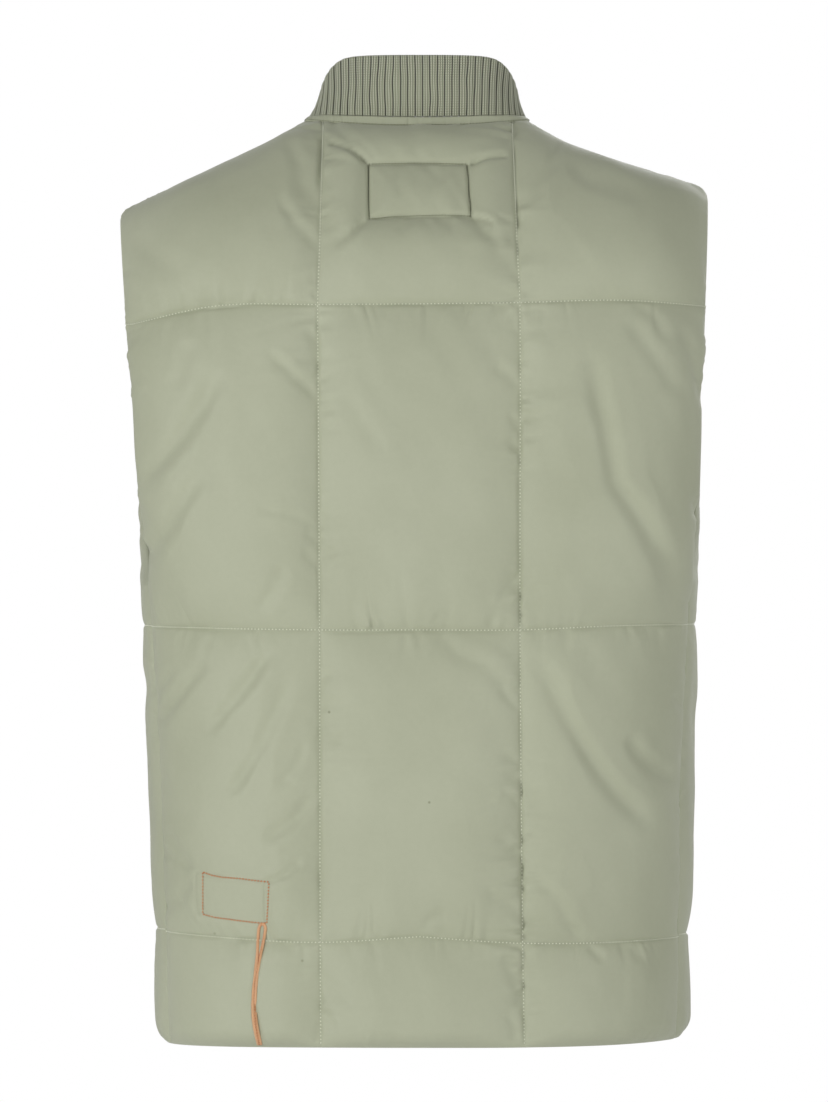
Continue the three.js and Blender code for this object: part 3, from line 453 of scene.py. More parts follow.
def mm_path(pixels):
    return [from_photo(*p) for p in pixels]


def spread(count, marks=(), start=2.2, end=2.2, reach=0.035):
    """Shares from 0 up to 1, closer together at the two ends and at marks (place, width, strength)."""
    fine = np.linspace(0, 1, 4001)
    density = 1 + start * np.exp(-fine / reach) + end * np.exp((fine - 1) / reach)
    for place, width, strength in marks:
        density += strength * np.exp(-(((fine - place) / width) ** 2))
    total = np.cumsum(density) - density[0]
    return np.interp(np.arange(count) / count, total / total[-1], fine)


# The stitched boxes and the slit are drawn finer, at their shares of the rows and columns
NECK_BOX_ROWS = [(0.317, 0.03, 1.4), (0.569, 0.03, 1.4)]
NECK_BOX_COLUMN = [(0.5, 0.045, 2.4)]
ORANGE_BOX_ROWS = [(0.03, 0.04, 0.8), (0.2, 0.04, 0.8)]
SLIT_COLUMNS = [(0.73, 0.05, 2.2), (0.36, 0.03, 1.0)]
ROWS = [
    spread(34, start=1.2, reach=0.06),
    spread(98, ORANGE_BOX_ROWS, reach=0.02),
    np.concatenate([
        UNDERARM * spread(14, start=1.5, end=0, reach=0.12),
        UNDERARM + (1 - UNDERARM) * spread(86, start=0.4, reach=0.02),
    ]),
    np.append(spread(59, NECK_BOX_ROWS, reach=0.03), 1.0),
]
ROW_OF = np.concatenate([np.full(len(r), k) for k, r in enumerate(ROWS)])
ROW_SHARE = np.concatenate(ROWS)
LINE_ROWS = [0, len(ROWS[0]), len(ROWS[0]) + len(ROWS[1]), len(ROW_OF) - len(ROWS[3])]


def side_shares(facing, counts, marks=()):
    split = NECK_SHARE[facing]
    outer = spread(counts[0], [(at / split, width, strong) for at, width, strong in marks], end=0)
    return np.concatenate([split * outer, split + (1 - split) * spread(counts[1], start=0, reach=0.15)])


def cell_puff(facing, side, middle, row, row_share, share, point):
    """How far the filling raises a point, from its distances to the seams round its cell."""
    top = row == 3
    up = np.sin(row_share * math.pi / 2) if top else row_share
    tall = CELL_HEIGHTS[row]
    height = rise(up * tall, EDGE_REACH if row == 0 else SEAM_REACH)
    height = height * rise((1 - up) * tall, PINCH_REACH if top else SEAM_REACH)
    if not middle and row in (0, 1, 2):
        held = lerp(SIDE_HOLD, 1, smooth(share * SIDE_CELL / SIDE_BREADTH))
        free = rise(up * tall, EDGE_REACH) if row == 0 else 1.0
        height = lerp(free * (rise((1 - up) * tall, SEAM_REACH) if row == 2 else 1.0), height, held)
    if middle and facing == BACK:
        across = rise(share * HALF_MIDDLE, SEAM_REACH) * rise((2 - share) * HALF_MIDDLE, SEAM_REACH)
    elif middle:
        across = rise(share * FRONT_MIDDLE, SEAM_REACH) * rise((1 - share) * FRONT_MIDDLE, PINCH_REACH)
    else:
        filled = lerp(SIDE_FILLING, 1, rise(share * SIDE_CELL, SIDE_BREADTH))
        across = filled * rise(share * SIDE_CELL, EDGE_REACH) * rise((1 - share) * SIDE_CELL, SEAM_REACH)
    height = PUFF * height * across
    if middle and top and facing == BACK:
        outside = np.maximum(
            np.abs(point[..., 0]) - BOX_HALF, np.maximum(BOX_BOTTOM - point[..., 2], point[..., 2] - BOX_TOP)
        )
        held = rise(np.abs(outside), PINCH_REACH)
        height = height * np.where(outside < 0, held * BOX_FILLING, held)
    return height


YOKE_EASING = 60
EASED_BELOW = 16.0
EASED_ABOVE = 50.0


def seam_surface(facing, groups):
    """A panel's seam surface and its puff, as grids of columns by rows."""
    points, heights, sides = [], [], []
    for side, middle, shares in groups:
        for_rows = []
        puffs = []
        for row, row_shares in enumerate(ROWS):
            share, row_share = np.meshgrid(shares, row_shares, indexing="ij")
            if row == 3:
                place = yoke_point(facing, side, row_share, share, middle)
            else:
                place = body_point(facing, side, row, row_share, share, middle)
            place = np.stack(np.broadcast_arrays(*place), -1).astype(float)
            puffs.append(cell_puff(facing, side, middle, row, row_share, share, place))
            for_rows.append(place)
        block = np.concatenate(for_rows, 1)
        if side == "right":
            block[..., 0] *= -1
        points.append(block)
        heights.append(np.concatenate(puffs, 1))
        sides += [side] * len(shares)
    points = np.concatenate(points)
    eased_yoke(points)
    return points, np.concatenate(heights), sides


def eased_yoke(points):
    """Softens the crease that the neck's corner would send down through the yoke."""
    yoke = points[:, LINE_ROWS[3]:]
    soft = yoke.copy()
    for _ in range(YOKE_EASING):
        soft[1:-1] = soft[1:-1] / 2 + (soft[:-2] + soft[2:]) / 4
    from_top = np.linalg.norm(yoke - yoke[:, -1:], axis=-1)
    from_line = np.linalg.norm(yoke - yoke[:, :1], axis=-1)
    share = smooth(from_top / EASED_BELOW) * smooth(from_line / EASED_ABOVE)
    yoke[:] = lerp(yoke, soft, share[..., None])


def grid_normals(points, outward):
    """Unit normals of a grid of points, turned to the side that outward points to."""
    normals = np.cross(np.gradient(points, axis=0), np.gradient(points, axis=1))
    normals /= np.maximum(np.linalg.norm(normals, axis=-1, keepdims=True), 1e-9)
    if (normals * outward).sum() < 0:
        normals = -normals
    return normals


def lengths_along(points, axis):
    steps = np.linalg.norm(np.diff(points, axis=axis), axis=-1)
    total = np.cumsum(steps, axis)
    start = np.zeros_like(np.take(total, [0], axis))
    return np.concatenate([start, total], axis)


# Uneven gathers beside a seam: their spacing, how far they reach and their height
GATHERS = [(3.8, 4.6, 1.5), (7.5, 9.5, 2.1), (15.0, 22.0, 1.7)]
SIDE_CALM = 0.25
GROOVE_DEPTH = 0.25
GROOVE_HALF = 0.9
SEAM_RISE = 0.95
SEAM_RISE_REACH = 3.4
BOX_GROOVES = [3.2, 0.8]
BOX_GATHERS = [0.6, 0.45]


def gathers(seed, along, away, strength):
    """Small creases square to a seam, sharp in the valleys, in uneven stretches."""
    stretch = smooth(0.55 + 0.85 * noise_line(seed, along, 34.0))
    total = np.zeros_like(away)
    for k, (step, reach, height) in enumerate(GATHERS):
        lean = 0.45 * away * noise_line(seed + 31 * (k + 1), along, 3.2 * step)
        wave = 2 * np.abs(noise_line(seed + 7 * (k + 1), along + lean, step)) - 0.8
        total += height * wave * np.exp(-away / reach) * (1 - np.exp(-away / (0.22 * step)))
    return strength * stretch * total


def fold_depth(x, z, folds):
    """Soft troughs along given lines, each with a low ridge beside it."""
    depth = np.zeros_like(x)
    for path, deep, half_width in folds:
        low = np.min(path, 0) - 4 * half_width
        high = np.max(path, 0) + 4 * half_width
        near = (x > low[0]) & (x < high[0]) & (z > low[1]) & (z < high[1])
        off, share = to_path(x[near], z[near], path)
        ends = smooth((share + 0.12) / 0.3) * smooth((1.12 - share) / 0.3)
        trough = np.exp(-((off / half_width) ** 2)) - 0.3 * np.exp(-(((off - 1.9 * half_width) / half_width) ** 2))
        depth[near] += deep * ends * trough
    return depth


# Where cloth is pinched hard: the slit, and the deepest stretches of the upright quilting lines
SHARP_CREASES = [
    (SLIT_CREASE, 2.2, 1.3),
    ([(258, 1003), (261, 1020), (263.7, 1044)], 1.2, 0.9),
    ([(321, 136), (320.5, 160), (319, 188)], 2.8, 1.4),
    ([(513.5, 146), (514.5, 180), (517, 212), (518.6, 230)], 2.8, 1.4),
    ([(322, 304), (365, 303.2), (418, 304), (473, 303), (515, 302)], 1.3, 0.9),
    ([(129, 323), (151, 318), (182, 312), (208, 309), (243, 306)], 1.3, 0.9),
    ([(330, 632), (364, 632), (401, 630.2), (450, 629.6), (500, 631)], 1.0, 0.9),
    ([(519.8, 425), (519, 489), (519.7, 572)], 1.1, 0.9),
    ([(520.4, 684), (521, 773), (521, 871), (522, 925)], 1.2, 0.9),
    ([(317, 560), (320, 600), (320, 654)], 0.9, 0.9),
    ([(367, 163), (351, 153), (330, 144)], 1.6, 1.0),
    ([(470, 164), (488, 160), (506, 157)], 1.5, 1.0),
    ([(472, 217), (483, 221), (494, 226)], 1.6, 1.0),
    ([(366, 221), (353, 233), (338, 243)], 1.3, 1.0),
]


def sharp_creases(x, z):
    depth = np.zeros_like(x)
    for pixels, deep, half_width in SHARP_CREASES:
        off, share = to_path(x, z, mm_path(pixels))
        ends = smooth((share + 0.03) / 0.12) * smooth((1.03 - share) / 0.12)
        depth += deep * ends * np.exp(-np.abs(off / half_width) ** 1.5)
    return depth


def clear_of(distances, reach):
    """0 on the nearest of some seams and 1 well away from all of them."""
    return 1 - np.exp(-np.min(distances, 0) / reach)


def panel_relief(name, facing, points, puff, line_columns, end_columns):
    """The height of a panel's cloth over its seam surface, with creases, gathers and folds."""
    across = lengths_along(points, 0)
    across = across - across[end_columns["middle"]]
    up = lengths_along(points, 1)
    armed = (ROW_OF > 2) | ((ROW_OF == 2) & (ROW_SHARE > UNDERARM))
    sideways = [np.abs(across - across[k]) for k in line_columns]
    level = [np.abs(up - up[:, [k]]) for k in LINE_ROWS[1:]]
    rim_side = [np.abs(across - across[k]) for k in end_columns["sides"]]
    rim_hem, rim_top = up, up[:, [-1]] - up
    quilted = np.min(sideways + level, 0)
    seed = {"back": 100, "left": 200, "right": 300}[name]
    boxed = []
    if facing == BACK:
        seen_x, seen_z = as_seen(points)
        boxed = [np.abs(to_path(seen_x, seen_z, mm_path(box))[0]) for box in (NECK_BOX, ORANGE_BOX)]
    sewn = np.min([quilted] + boxed[:1], 0)
    calm = lerp(SIDE_CALM, 1, smooth(np.min(rim_side[:1] if facing == FRONT else rim_side, 0) / SIDE_BREADTH))
    rise_here = SEAM_RISE * calm * (1 - np.exp(-sewn / SEAM_RISE_REACH))
    height = puff + rise_here * clear_of([rim_hem, rim_top] + rim_side, 4.0)

    if facing == BACK:
        folds = [(mm_path(p), d, w) for p, d, w in BACK_FOLDS]
        height = height - fold_depth(seen_x, seen_z, folds) - sharp_creases(seen_x, seen_z)
    else:
        height = height - fold_depth(np.abs(points[..., 0]), points[..., 2], FRONT_FOLDS[name])

    filled = np.clip(puff / 5.0, 0, 1)
    soft = 0.9 * noise_plane(seed + 1, across, up, 46, 58) + 0.45 * noise_plane(seed + 2, across, up, 19, 33)
    slant = noise_plane(seed + 3, across + 0.55 * up, up - 0.55 * across, 17, 74)
    height = height + filled * (soft + 0.55 * slant)

    for k, (column, away) in enumerate(zip(line_columns, sideways)):
        for side in (-1, 1):
            here = side * (across - across[column]) >= 0
            strength = GATHER_STRENGTH[name][k][side > 0]
            height = height + here * gathers(seed + 10 + 4 * k + side, up, away, strength)
    for k, (row, away) in enumerate(zip(LINE_ROWS[1:], level)):
        for side in (-1, 1):
            here = side * (up - up[:, [row]]) >= 0
            height = height + here * calm * gathers(seed + 40 + 4 * k + side, across, away, 0.8)
    for k, away in enumerate(rim_side):
        height = height + gathers(seed + 60 + k, up, away, 0.55)
    height = height + gathers(seed + 70, across, rim_hem, 0.4) + gathers(seed + 71, across, rim_top, 0.45)

    # The quilting lines, edges and joined seams hold the cloth down
    if facing == BACK:
        for k, away in enumerate(boxed):
            height = height + gathers(seed + 80 + k, across + 0.7 * up, away, BOX_GATHERS[k])
            height = height - BOX_GROOVES[k] * np.exp(-((away / GROOVE_HALF) ** 2))
    upright = np.min(sideways, 0)
    across_lines = np.min(level, 0)
    held = (calm - SIDE_CALM) / (1 - SIDE_CALM)
    pinch = np.maximum(np.exp(-((upright / 0.9) ** 2)), held * np.exp(-((across_lines / 0.9) ** 2)))
    height = height * (1 - pinch) - GROOVE_DEPTH * calm * np.exp(-((quilted / GROOVE_HALF) ** 2))
    for away in rim_side + [rim_hem]:
        height = np.minimum(height, 10 * (1 - np.exp(-away / 3.0)) + 0.05) - 0.5 * np.exp(-away / 1.2)
    height = np.minimum(height, 10 * (1 - np.exp(-rim_top / 3.0)) + 0.05)
    return np.maximum(height, -3.0), across, up, armed


# How strongly each upright quilting line gathers the cloth, on its left and on its right in the grid
GATHER_STRENGTH = {
    "back": [(0.7, 0.85), (1.25, 0.95)],
    "left": [(0.8, 0.8)],
    "right": [(0.9, 0.8)],
}


def boundary(grid):
    """The edge of a grid as a closed loop, from the first column's first row."""
    return np.concatenate([grid[:-1, 0], grid[-1, :-1], grid[:0:-1, -1], grid[0, :0:-1]])


def quads_of(ids):
    return np.stack([ids[:-1, :-1], ids[1:, :-1], ids[1:, 1:], ids[:-1, 1:]], -1).reshape(-1, 4)


def flipped(faces):
    return faces[:, ::-1]


def closed_faces(points, faces):
    """Turns all the faces round if they point inwards."""
    volume = 0.0
    for f in faces:
        a = points[f[:, 0]]
        for k in range(1, f.shape[1] - 1):
            volume += np.einsum("ij,ij->i", a, np.cross(points[f[:, k]], points[f[:, k + 1]])).sum()
    return faces if volume > 0 else [flipped(f) for f in faces]


def wall(outer, inner, bulge, ratio=3, turns=3):
    """A closed wall: a fine outer grid, a plain inner one, and a rounded rim between their edges."""
    plain = inner[::ratio, ::ratio]
    ids_out = np.arange(outer.shape[0] * outer.shape[1]).reshape(outer.shape[:2])
    ids_in = ids_out.size + np.arange(plain.shape[0] * plain.shape[1]).reshape(plain.shape[:2])
    points = [outer.reshape(-1, 3), plain.reshape(-1, 3)]
    start = ids_out.size + ids_in.size
    rim_out, rim_in = boundary(outer), boundary(inner)
    beside = outer.copy()
    beside[0], beside[-1] = outer[1], outer[-2]
    beside[1:-1, 0], beside[1:-1, -1] = outer[1:-1, 1], outer[1:-1, -2]
    out = rim_out - boundary(beside)
    thick = (rim_out - rim_in) / np.linalg.norm(rim_out - rim_in, axis=1, keepdims=True)
    out -= thick * (out * thick).sum(1, keepdims=True)
    out /= np.maximum(np.linalg.norm(out, axis=1, keepdims=True), 1e-9)
    loops = [boundary(ids_out)]
    for m in range(1, turns + 1):
        t = m / (turns + 1)
        swell = boundary(bulge)[:, None] * math.sin(math.pi * t)
        points.append(lerp(rim_out, rim_in, t) + out * swell)
        loops.append(start + np.arange(len(rim_out)))
        start += len(rim_out)
    faces = [quads_of(ids_out), flipped(quads_of(ids_in))]
    for near, far in zip(loops, loops[1:]):
        faces.append(np.stack([near, far, np.roll(far, -1), np.roll(near, -1)], -1))
    fine, coarse = loops[-1], boundary(ids_in)
    after = np.roll(coarse, -1)
    middle = ratio // 2
    for m in range(ratio):
        owner = coarse if m < middle else after
        faces.append(np.stack([np.roll(fine, -m)[::ratio], owner, np.roll(fine, -m - 1)[::ratio]], -1))
    faces.append(np.stack([coarse, after, np.roll(fine, -middle)[::ratio]], -1))
    points = np.concatenate(points)
    return points, closed_faces(points, faces)


def new_piece(name, points, faces, material, body="vest", uv=None, corner_uv=None):
    """A mesh object from points in millimetres and lists of faces with equal numbers of corners."""
    mesh = bpy.data.meshes.new(name)
    sizes = np.concatenate([np.full(len(f), f.shape[1]) for f in faces])
    corners = np.concatenate([f.ravel() for f in faces])
    mesh.vertices.add(len(points))
    mesh.vertices.foreach_set("co", (points * MM).astype(np.float32).ravel())
    mesh.loops.add(len(corners))
    mesh.loops.foreach_set("vertex_index", corners.astype(np.int32))
    mesh.polygons.add(len(sizes))
    mesh.polygons.foreach_set("loop_start", (np.cumsum(sizes) - sizes).astype(np.int32))
    mesh.polygons.foreach_set("use_smooth", np.ones(len(sizes), bool))
    if uv is not None:
        corner_uv = uv[corners]
    if corner_uv is not None:
        layer = mesh.uv_layers.new(name="cloth")
        layer.uv.foreach_set("vector", corner_uv.astype(np.float32).ravel())
    mesh.update(calc_edges=True)
    mesh.validate()
    mesh.materials.append(material)
    piece = bpy.data.objects.new(name, mesh)
    bpy.context.scene.collection.objects.link(piece)
    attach(piece, body)
    return piece


def nodes_of(material):
    material.use_nodes = True
    tree = material.node_tree
    tree.nodes.clear()
    output = tree.nodes.new("ShaderNodeOutputMaterial")
    shader = tree.nodes.new("ShaderNodeBsdfPrincipled")
    tree.links.new(shader.outputs["BSDF"], output.inputs["Surface"])
    return tree, shader


def node(tree, kind, inputs=None, **settings):
    made = tree.nodes.new("ShaderNode" + kind)
    for key, value in settings.items():
        setattr(made, key, value)
    for key, value in (inputs or {}).items():
        if hasattr(value, "links"):
            tree.links.new(value, made.inputs[key])
        else:
            made.inputs[key].default_value = value
    return made


def math_node(tree, operation, a, b=0.0, clamp=False):
    made = node(tree, "Math", {0: a, 1: b}, operation=operation, use_clamp=clamp)
    return made.outputs[0]


def linear(red, green, blue):
    """Screen colour values from 0 to 255 as a linear colour."""
    def one(v):
        v /= 255
        return v / 12.92 if v <= 0.04045 else ((v + 0.055) / 1.055) ** 2.4
    return one(red), one(green), one(blue), 1.0


def mix_colour(tree, share, a, b):
    made = node(tree, "Mix", data_type="RGBA")
    for key, value in (("Factor", share), ("A", a), ("B", b)):
        socket = [s for s in made.inputs if s.name == key and s.enabled][0]
        if hasattr(value, "links"):
            tree.links.new(value, socket)
        else:
            socket.default_value = value
    return [s for s in made.outputs if s.enabled][0]


def noise(tree, vector, scale, detail=2.0, rough=0.5):
    return node(
        tree, "TexNoise", {"Vector": vector, "Scale": scale, "Detail": detail, "Roughness": rough}
    ).outputs["Fac"]


def wave(tree, at, pitch):
    """A sine from 0 to 1 of one coordinate in metres, with the given pitch in millimetres."""
    turns = math_node(tree, "MULTIPLY", at, 2 * math.pi / (pitch * MM))
    return math_node(tree, "MULTIPLY_ADD", math_node(tree, "SINE", turns), 0.5)


def bump(tree, shader, height, distance, strength=1.0, under=None):
    made = node(tree, "Bump", {"Height": height, "Distance": distance, "Strength": strength})
    if under is not None:
        tree.links.new(under, made.inputs["Normal"])
    tree.links.new(made.outputs["Normal"], shader.inputs["Normal"])
    return made.outputs["Normal"]


def ramp(tree, value, low, high):
    return node(tree, "MapRange", {"Value": value, "From Min": low, "From Max": high}).outputs[0]


CLOTH_LIGHT = linear(181, 185, 161)
CLOTH_DARK = linear(169, 173, 148)
SPECKS = [(330.5, 709.5, 1.0), (429, 798, 0.9), (304, 954.5, 0.7), (217, 929, 0.5)]


def shell_material():
    """Plain woven nylon: fine crossed threads, a soft sheen and slight unevenness of colour."""
    material = bpy.data.materials.new("shell_nylon")
    tree, shader = nodes_of(material)
    cloth = node(tree, "UVMap", uv_map="cloth").outputs["UV"]
    place = node(tree, "TexCoord").outputs["Object"]
    split = node(tree, "SeparateXYZ", {0: cloth})
    broad = noise(tree, place, 9.0, 3.0)
    fine = noise(tree, place, 260.0, 2.0)
    tone = math_node(tree, "MULTIPLY_ADD", ramp(tree, broad, 0.3, 0.7), 0.65)
    tone.node.inputs[2].default_value = 0.1
    tone = math_node(tree, "MULTIPLY_ADD", fine, 0.3)
    tone.node.inputs[2].default_value = 0.0
    tone = math_node(tree, "ADD", math_node(tree, "MULTIPLY", ramp(tree, broad, 0.3, 0.7), 0.6), tone, clamp=True)
    colour = mix_colour(tree, tone, CLOTH_DARK, CLOTH_LIGHT)
    seen = node(tree, "SeparateXYZ", {0: place})
    speck = None
    for px, py, size in SPECKS:
        x, z = from_photo(px, py)
        dx = math_node(tree, "SUBTRACT", seen.outputs["X"], x * MM)
        dz = math_node(tree, "SUBTRACT", seen.outputs["Z"], z * MM)
        off = math_node(
            tree, "SQRT", math_node(tree, "ADD", math_node(tree, "POWER", dx, 2), math_node(tree, "POWER", dz, 2))
        )
        spot = node(
            tree, "MapRange",
            {"Value": off, "From Min": 0.0014, "From Max": 0.0004, "To Min": 0.0, "To Max": 0.55 * size},
        ).outputs[0]
        speck = spot if speck is None else math_node(tree, "MAXIMUM", speck, spot)
    colour = mix_colour(tree, speck, colour, linear(92, 96, 66))
    tree.links.new(colour, shader.inputs["Base Color"])
    shader.inputs["Sheen Weight"].default_value = 0.18
    shader.inputs["Sheen Roughness"].default_value = 0.4
    shader.inputs["Specular IOR Level"].default_value = 0.38
    rough = node(tree, "MapRange", {"Value": broad, "To Min": 0.52, "To Max": 0.66})
    tree.links.new(rough.outputs[0], shader.inputs["Roughness"])
    weave = math_node(
        tree, "MULTIPLY", wave(tree, split.outputs["X"], 0.42), wave(tree, split.outputs["Y"], 0.36)
    )
    crumple = noise(tree, place, 75.0, 3.0, 0.6)
    first = bump(tree, shader, weave, 0.00005, 0.5)
    bump(tree, shader, crumple, 0.0006, 0.35, first)
    return material


def thread_material(name, colour, dark):
    """Twisted sewing thread, with painted shade in the grooves of its twist."""
    material = bpy.data.materials.new(name)
    tree, shader = nodes_of(material)
    place = node(tree, "TexCoord").outputs["Object"]
    split = node(tree, "SeparateXYZ", {0: place})
    slanted = math_node(tree, "ADD", split.outputs["X"], split.outputs["Z"])
    twist = wave(tree, slanted, 0.7)
    # Painted shade: the dark colour falls in the grooves between the twisted plies
    tree.links.new(mix_colour(tree, twist, dark, colour), shader.inputs["Base Color"])
    shader.inputs["Roughness"].default_value = 0.6
    shader.inputs["Sheen Weight"].default_value = 0.15
    bump(tree, shader, twist, 0.0001, 0.5)
    return material


def knit_material():
    """Rib knit: three columns of small V stitches on each rib, with painted shade between the loops and down in the
    valleys.
    """
    material = bpy.data.materials.new("rib_knit_yarn")
    tree, shader = nodes_of(material)
    cloth = node(tree, "UVMap", uv_map="cloth").outputs["UV"]
    place = node(tree, "TexCoord").outputs["Object"]
    split = node(tree, "SeparateXYZ", {0: cloth})
    wale = math_node(tree, "FRACT", math_node(tree, "MULTIPLY", split.outputs["X"], 3.0))
    arm = math_node(tree, "ABSOLUTE", math_node(tree, "SUBTRACT", wale, 0.5))
    course = math_node(tree, "DIVIDE", split.outputs["Y"], 1.9)
    turn = math_node(tree, "ADD", course, math_node(tree, "MULTIPLY", arm, 1.7))
    loop = math_node(tree, "MULTIPLY_ADD", math_node(tree, "SINE", math_node(tree, "MULTIPLY", turn, 2 * math.pi)), 0.4)
    loop.node.inputs[2].default_value = 0.6
    strand = math_node(tree, "COSINE", math_node(tree, "MULTIPLY", arm, math.pi))
    yarn = math_node(tree, "MULTIPLY", loop, strand)
    rib = math_node(tree, "FRACT", split.outputs["X"])
    off = math_node(tree, "ABSOLUTE", math_node(tree, "SUBTRACT", rib, 0.5))
    valley_shade = ramp(tree, off, 0.38, 0.49)
    broad = noise(tree, place, 22.0, 2.0)
    fuzz = noise(tree, place, 900.0, 2.0)
    # Painted shade and highlight: the yarn colour runs from dark between the loops to light on their tops
    body = mix_colour(tree, math_node(tree, "MULTIPLY", yarn, 1.0, True), linear(76, 80, 56), linear(232, 235, 211))
    patch = math_node(tree, "MULTIPLY", ramp(tree, broad, 0.35, 0.75), 0.3)
    body = mix_colour(tree, patch, body, linear(182, 187, 160))
    # Painted shade down in the valleys between the ribs
    colour = mix_colour(tree, valley_shade, body, linear(66, 70, 50))
    tree.links.new(colour, shader.inputs["Base Color"])
    shader.inputs["Roughness"].default_value = 0.92
    shader.inputs["Sheen Weight"].default_value = 0.3
    shader.inputs["Sheen Roughness"].default_value = 0.5
    shader.inputs["Specular IOR Level"].default_value = 0.2
    first = bump(tree, shader, yarn, 0.0006, 0.8)
    bump(tree, shader, fuzz, 0.0002, 0.4, first)
    return material


def tape_material(name, light, dark, pitch):
    """Herringbone tape, as on a zip or a binding."""
    material = bpy.data.materials.new(name)
    tree, shader = nodes_of(material)
    cloth = node(tree, "UVMap", uv_map="cloth").outputs["UV"]
    place = node(tree, "TexCoord").outputs["Object"]
    split = node(tree, "SeparateXYZ", {0: cloth})
    zig = math_node(tree, "PINGPONG", split.outputs["X"], pitch * MM)
    twill = wave(tree, math_node(tree, "ADD", split.outputs["Y"], zig), pitch * 0.5)
    fleck = noise(tree, place, 700.0, 2.0)
    tone = math_node(tree, "MULTIPLY_ADD", twill, 0.6)
    tree.links.new(math_node(tree, "MULTIPLY", fleck, 0.4), tone.node.inputs[2])
    tree.links.new(mix_colour(tree, tone, dark, light), shader.inputs["Base Color"])
    shader.inputs["Roughness"].default_value = 0.85
    shader.inputs["Sheen Weight"].default_value = 0.2
    bump(tree, shader, twill, 0.00012, 0.7)
    return material


def metal_material(name, colour, rough):
    """Cast zip metal with a fine tumbled grain, a little duller where it rubs."""
    material = bpy.data.materials.new(name)
    tree, shader = nodes_of(material)
    place = node(tree, "TexCoord").outputs["Object"]
    grain = noise(tree, place, 900.0, 3.0, 0.6)
    worn = noise(tree, place, 120.0, 2.0)
    tree.links.new(mix_colour(tree, ramp(tree, worn, 0.35, 0.65), colour, linear(168, 164, 156)), shader.inputs["Base Color"])
    shader.inputs["Metallic"].default_value = 1.0
    spread = node(tree, "MapRange", {"Value": worn, "To Min": rough - 0.08, "To Max": rough + 0.14})
    tree.links.new(spread.outputs[0], shader.inputs["Roughness"])
    bump(tree, shader, grain, 0.00005, 0.5)
    return material


shell = shell_material()
knit = knit_material()
green_thread = thread_material("green_thread", linear(240, 243, 226), linear(206, 210, 188))
# Painted shade: a thread darker than the cloth stands in for stitches shaded down in their grooves; the real thread is
# the cloth's colour
shade_painted_thread = thread_material("shade_painted_thread", linear(98, 100, 72), linear(66, 68, 46))
orange_thread = thread_material("orange_thread", linear(218, 138, 84), linear(180, 102, 56))
binding_tape = tape_material("orange_binding_tape", linear(228, 182, 140), linear(208, 158, 116), 0.9)
zip_cloth = tape_material("zip_tape_cloth", linear(150, 155, 130), linear(118, 123, 98), 1.6)
zip_metal = metal_material("zip_metal_cast", linear(150, 147, 140), 0.34)


# The three filled panels, on the seam surfaces that the solids have
BACK_COUNTS, FRONT_COUNTS = (72, 15), (57, 15)
BACK_MIDDLE_COUNT, FRONT_MIDDLE_COUNT = 45, 24
INNER_PUFF = 0.2
ZIP_MARGIN = 17.0


def seam_frame(facing, points, sides, line_columns, mirrored):
    """Outward normals of a panel, shared with its neighbours along their common seams."""
    outward = np.zeros(3)
    outward[1] = facing
    normals = grid_normals(points, outward)
    last_row = points.shape[1] - 1
    on_side = (ROW_OF < 2) | ((ROW_OF == 2) & (ROW_SHARE <= UNDERARM))
    ends = [(0, 1)] if facing == FRONT else [(0, 1), (points.shape[0] - 1, -1)]
    shift = np.zeros_like(points)
    for column, step in ends:
        side = sides[column]
        sign = -1 if side == "right" else 1
        x, y, z = (points[column, on_side, k] for k in range(3))
        a, b, n = section(z, side, False)
        across = np.stack([np.abs(x / a) ** (n - 1) / a * sign, np.abs(y / b) ** (n - 1) / b, 0 * x], -1)
        across /= np.linalg.norm(across, axis=1, keepdims=True)
        normals[column, on_side] = across
        tangent = np.stack([-across[:, 1] * sign, np.abs(across[:, 0]), 0 * x], -1)
        shift[column, on_side] = tangent * facing * HALF_GAP
        half = NECK_HALF[side]
        columns = np.arange(len(sides))
        seam = (np.array(sides) == side) & (np.abs(points[:, last_row, 0]) >= half - 1e-6)
        seam &= np.abs(points[:, last_row, 1]) < 1e-6
        for k in columns[seam]:
            out = (abs(points[k, last_row, 0]) - half) / (SHOULDER_TIP[side] - half)
            near, far = (shoulder_at(side, np.clip(out + d, 0, 1)) for d in (-0.02, 0.02))
            slope = np.array([(near[1] - far[1]) * sign, 0, far[0] - near[0]])
            normals[k, last_row] = slope / np.linalg.norm(slope)
            shift[k, last_row] = (0, facing * HALF_GAP, 0)
    if facing == FRONT:
        normals[-1, :, 0] = 0
        normals[-1] /= np.linalg.norm(normals[-1], axis=1, keepdims=True)
    return normals, shift


def make_panel(name, facing, groups, line_columns, middle, edges):
    points, puff, sides = seam_surface(facing, groups)
    normals, shift = seam_frame(facing, points, sides, line_columns, name == "right")
    relief, across, up, armed = panel_relief(
        name, facing, points, puff, line_columns, {"middle": middle, "sides": edges}
    )
    base = points + shift
    outer = base + normals * relief[..., None]
    lining = INNER_PUFF * puff
    if facing == FRONT:
        lining = lining * smooth((np.abs(across) - ZIP_MARGIN) / 12)
    inner = base - normals * (SEAM_WALL + lining)[..., None]
    bulge = np.zeros(points.shape[:2])
    bulge[:, 0] = 0.9
    bulge[0, armed] = 0.9
    if facing == FRONT:
        bulge[-1] = 0.3
    else:
        bulge[-1, armed] = 0.9
    bulge[0, ~armed] = 0
    bulge[0, -1] = bulge[-1, -1] = 0
    mesh_points, faces = wall(outer, inner, bulge)
    flat = np.stack([across, up], -1) * MM
    uv = np.concatenate([flat.reshape(-1, 2), flat[::3, ::3].reshape(-1, 2)] + [boundary(flat)] * 3)
    piece_name = {"back": "back_cloth", "left": "front_left_cloth", "right": "front_right_cloth"}[name]
    piece = new_piece(piece_name, mesh_points, faces, shell, uv=uv)
    return {"piece": piece, "outer": outer, "normals": normals, "seams": points}


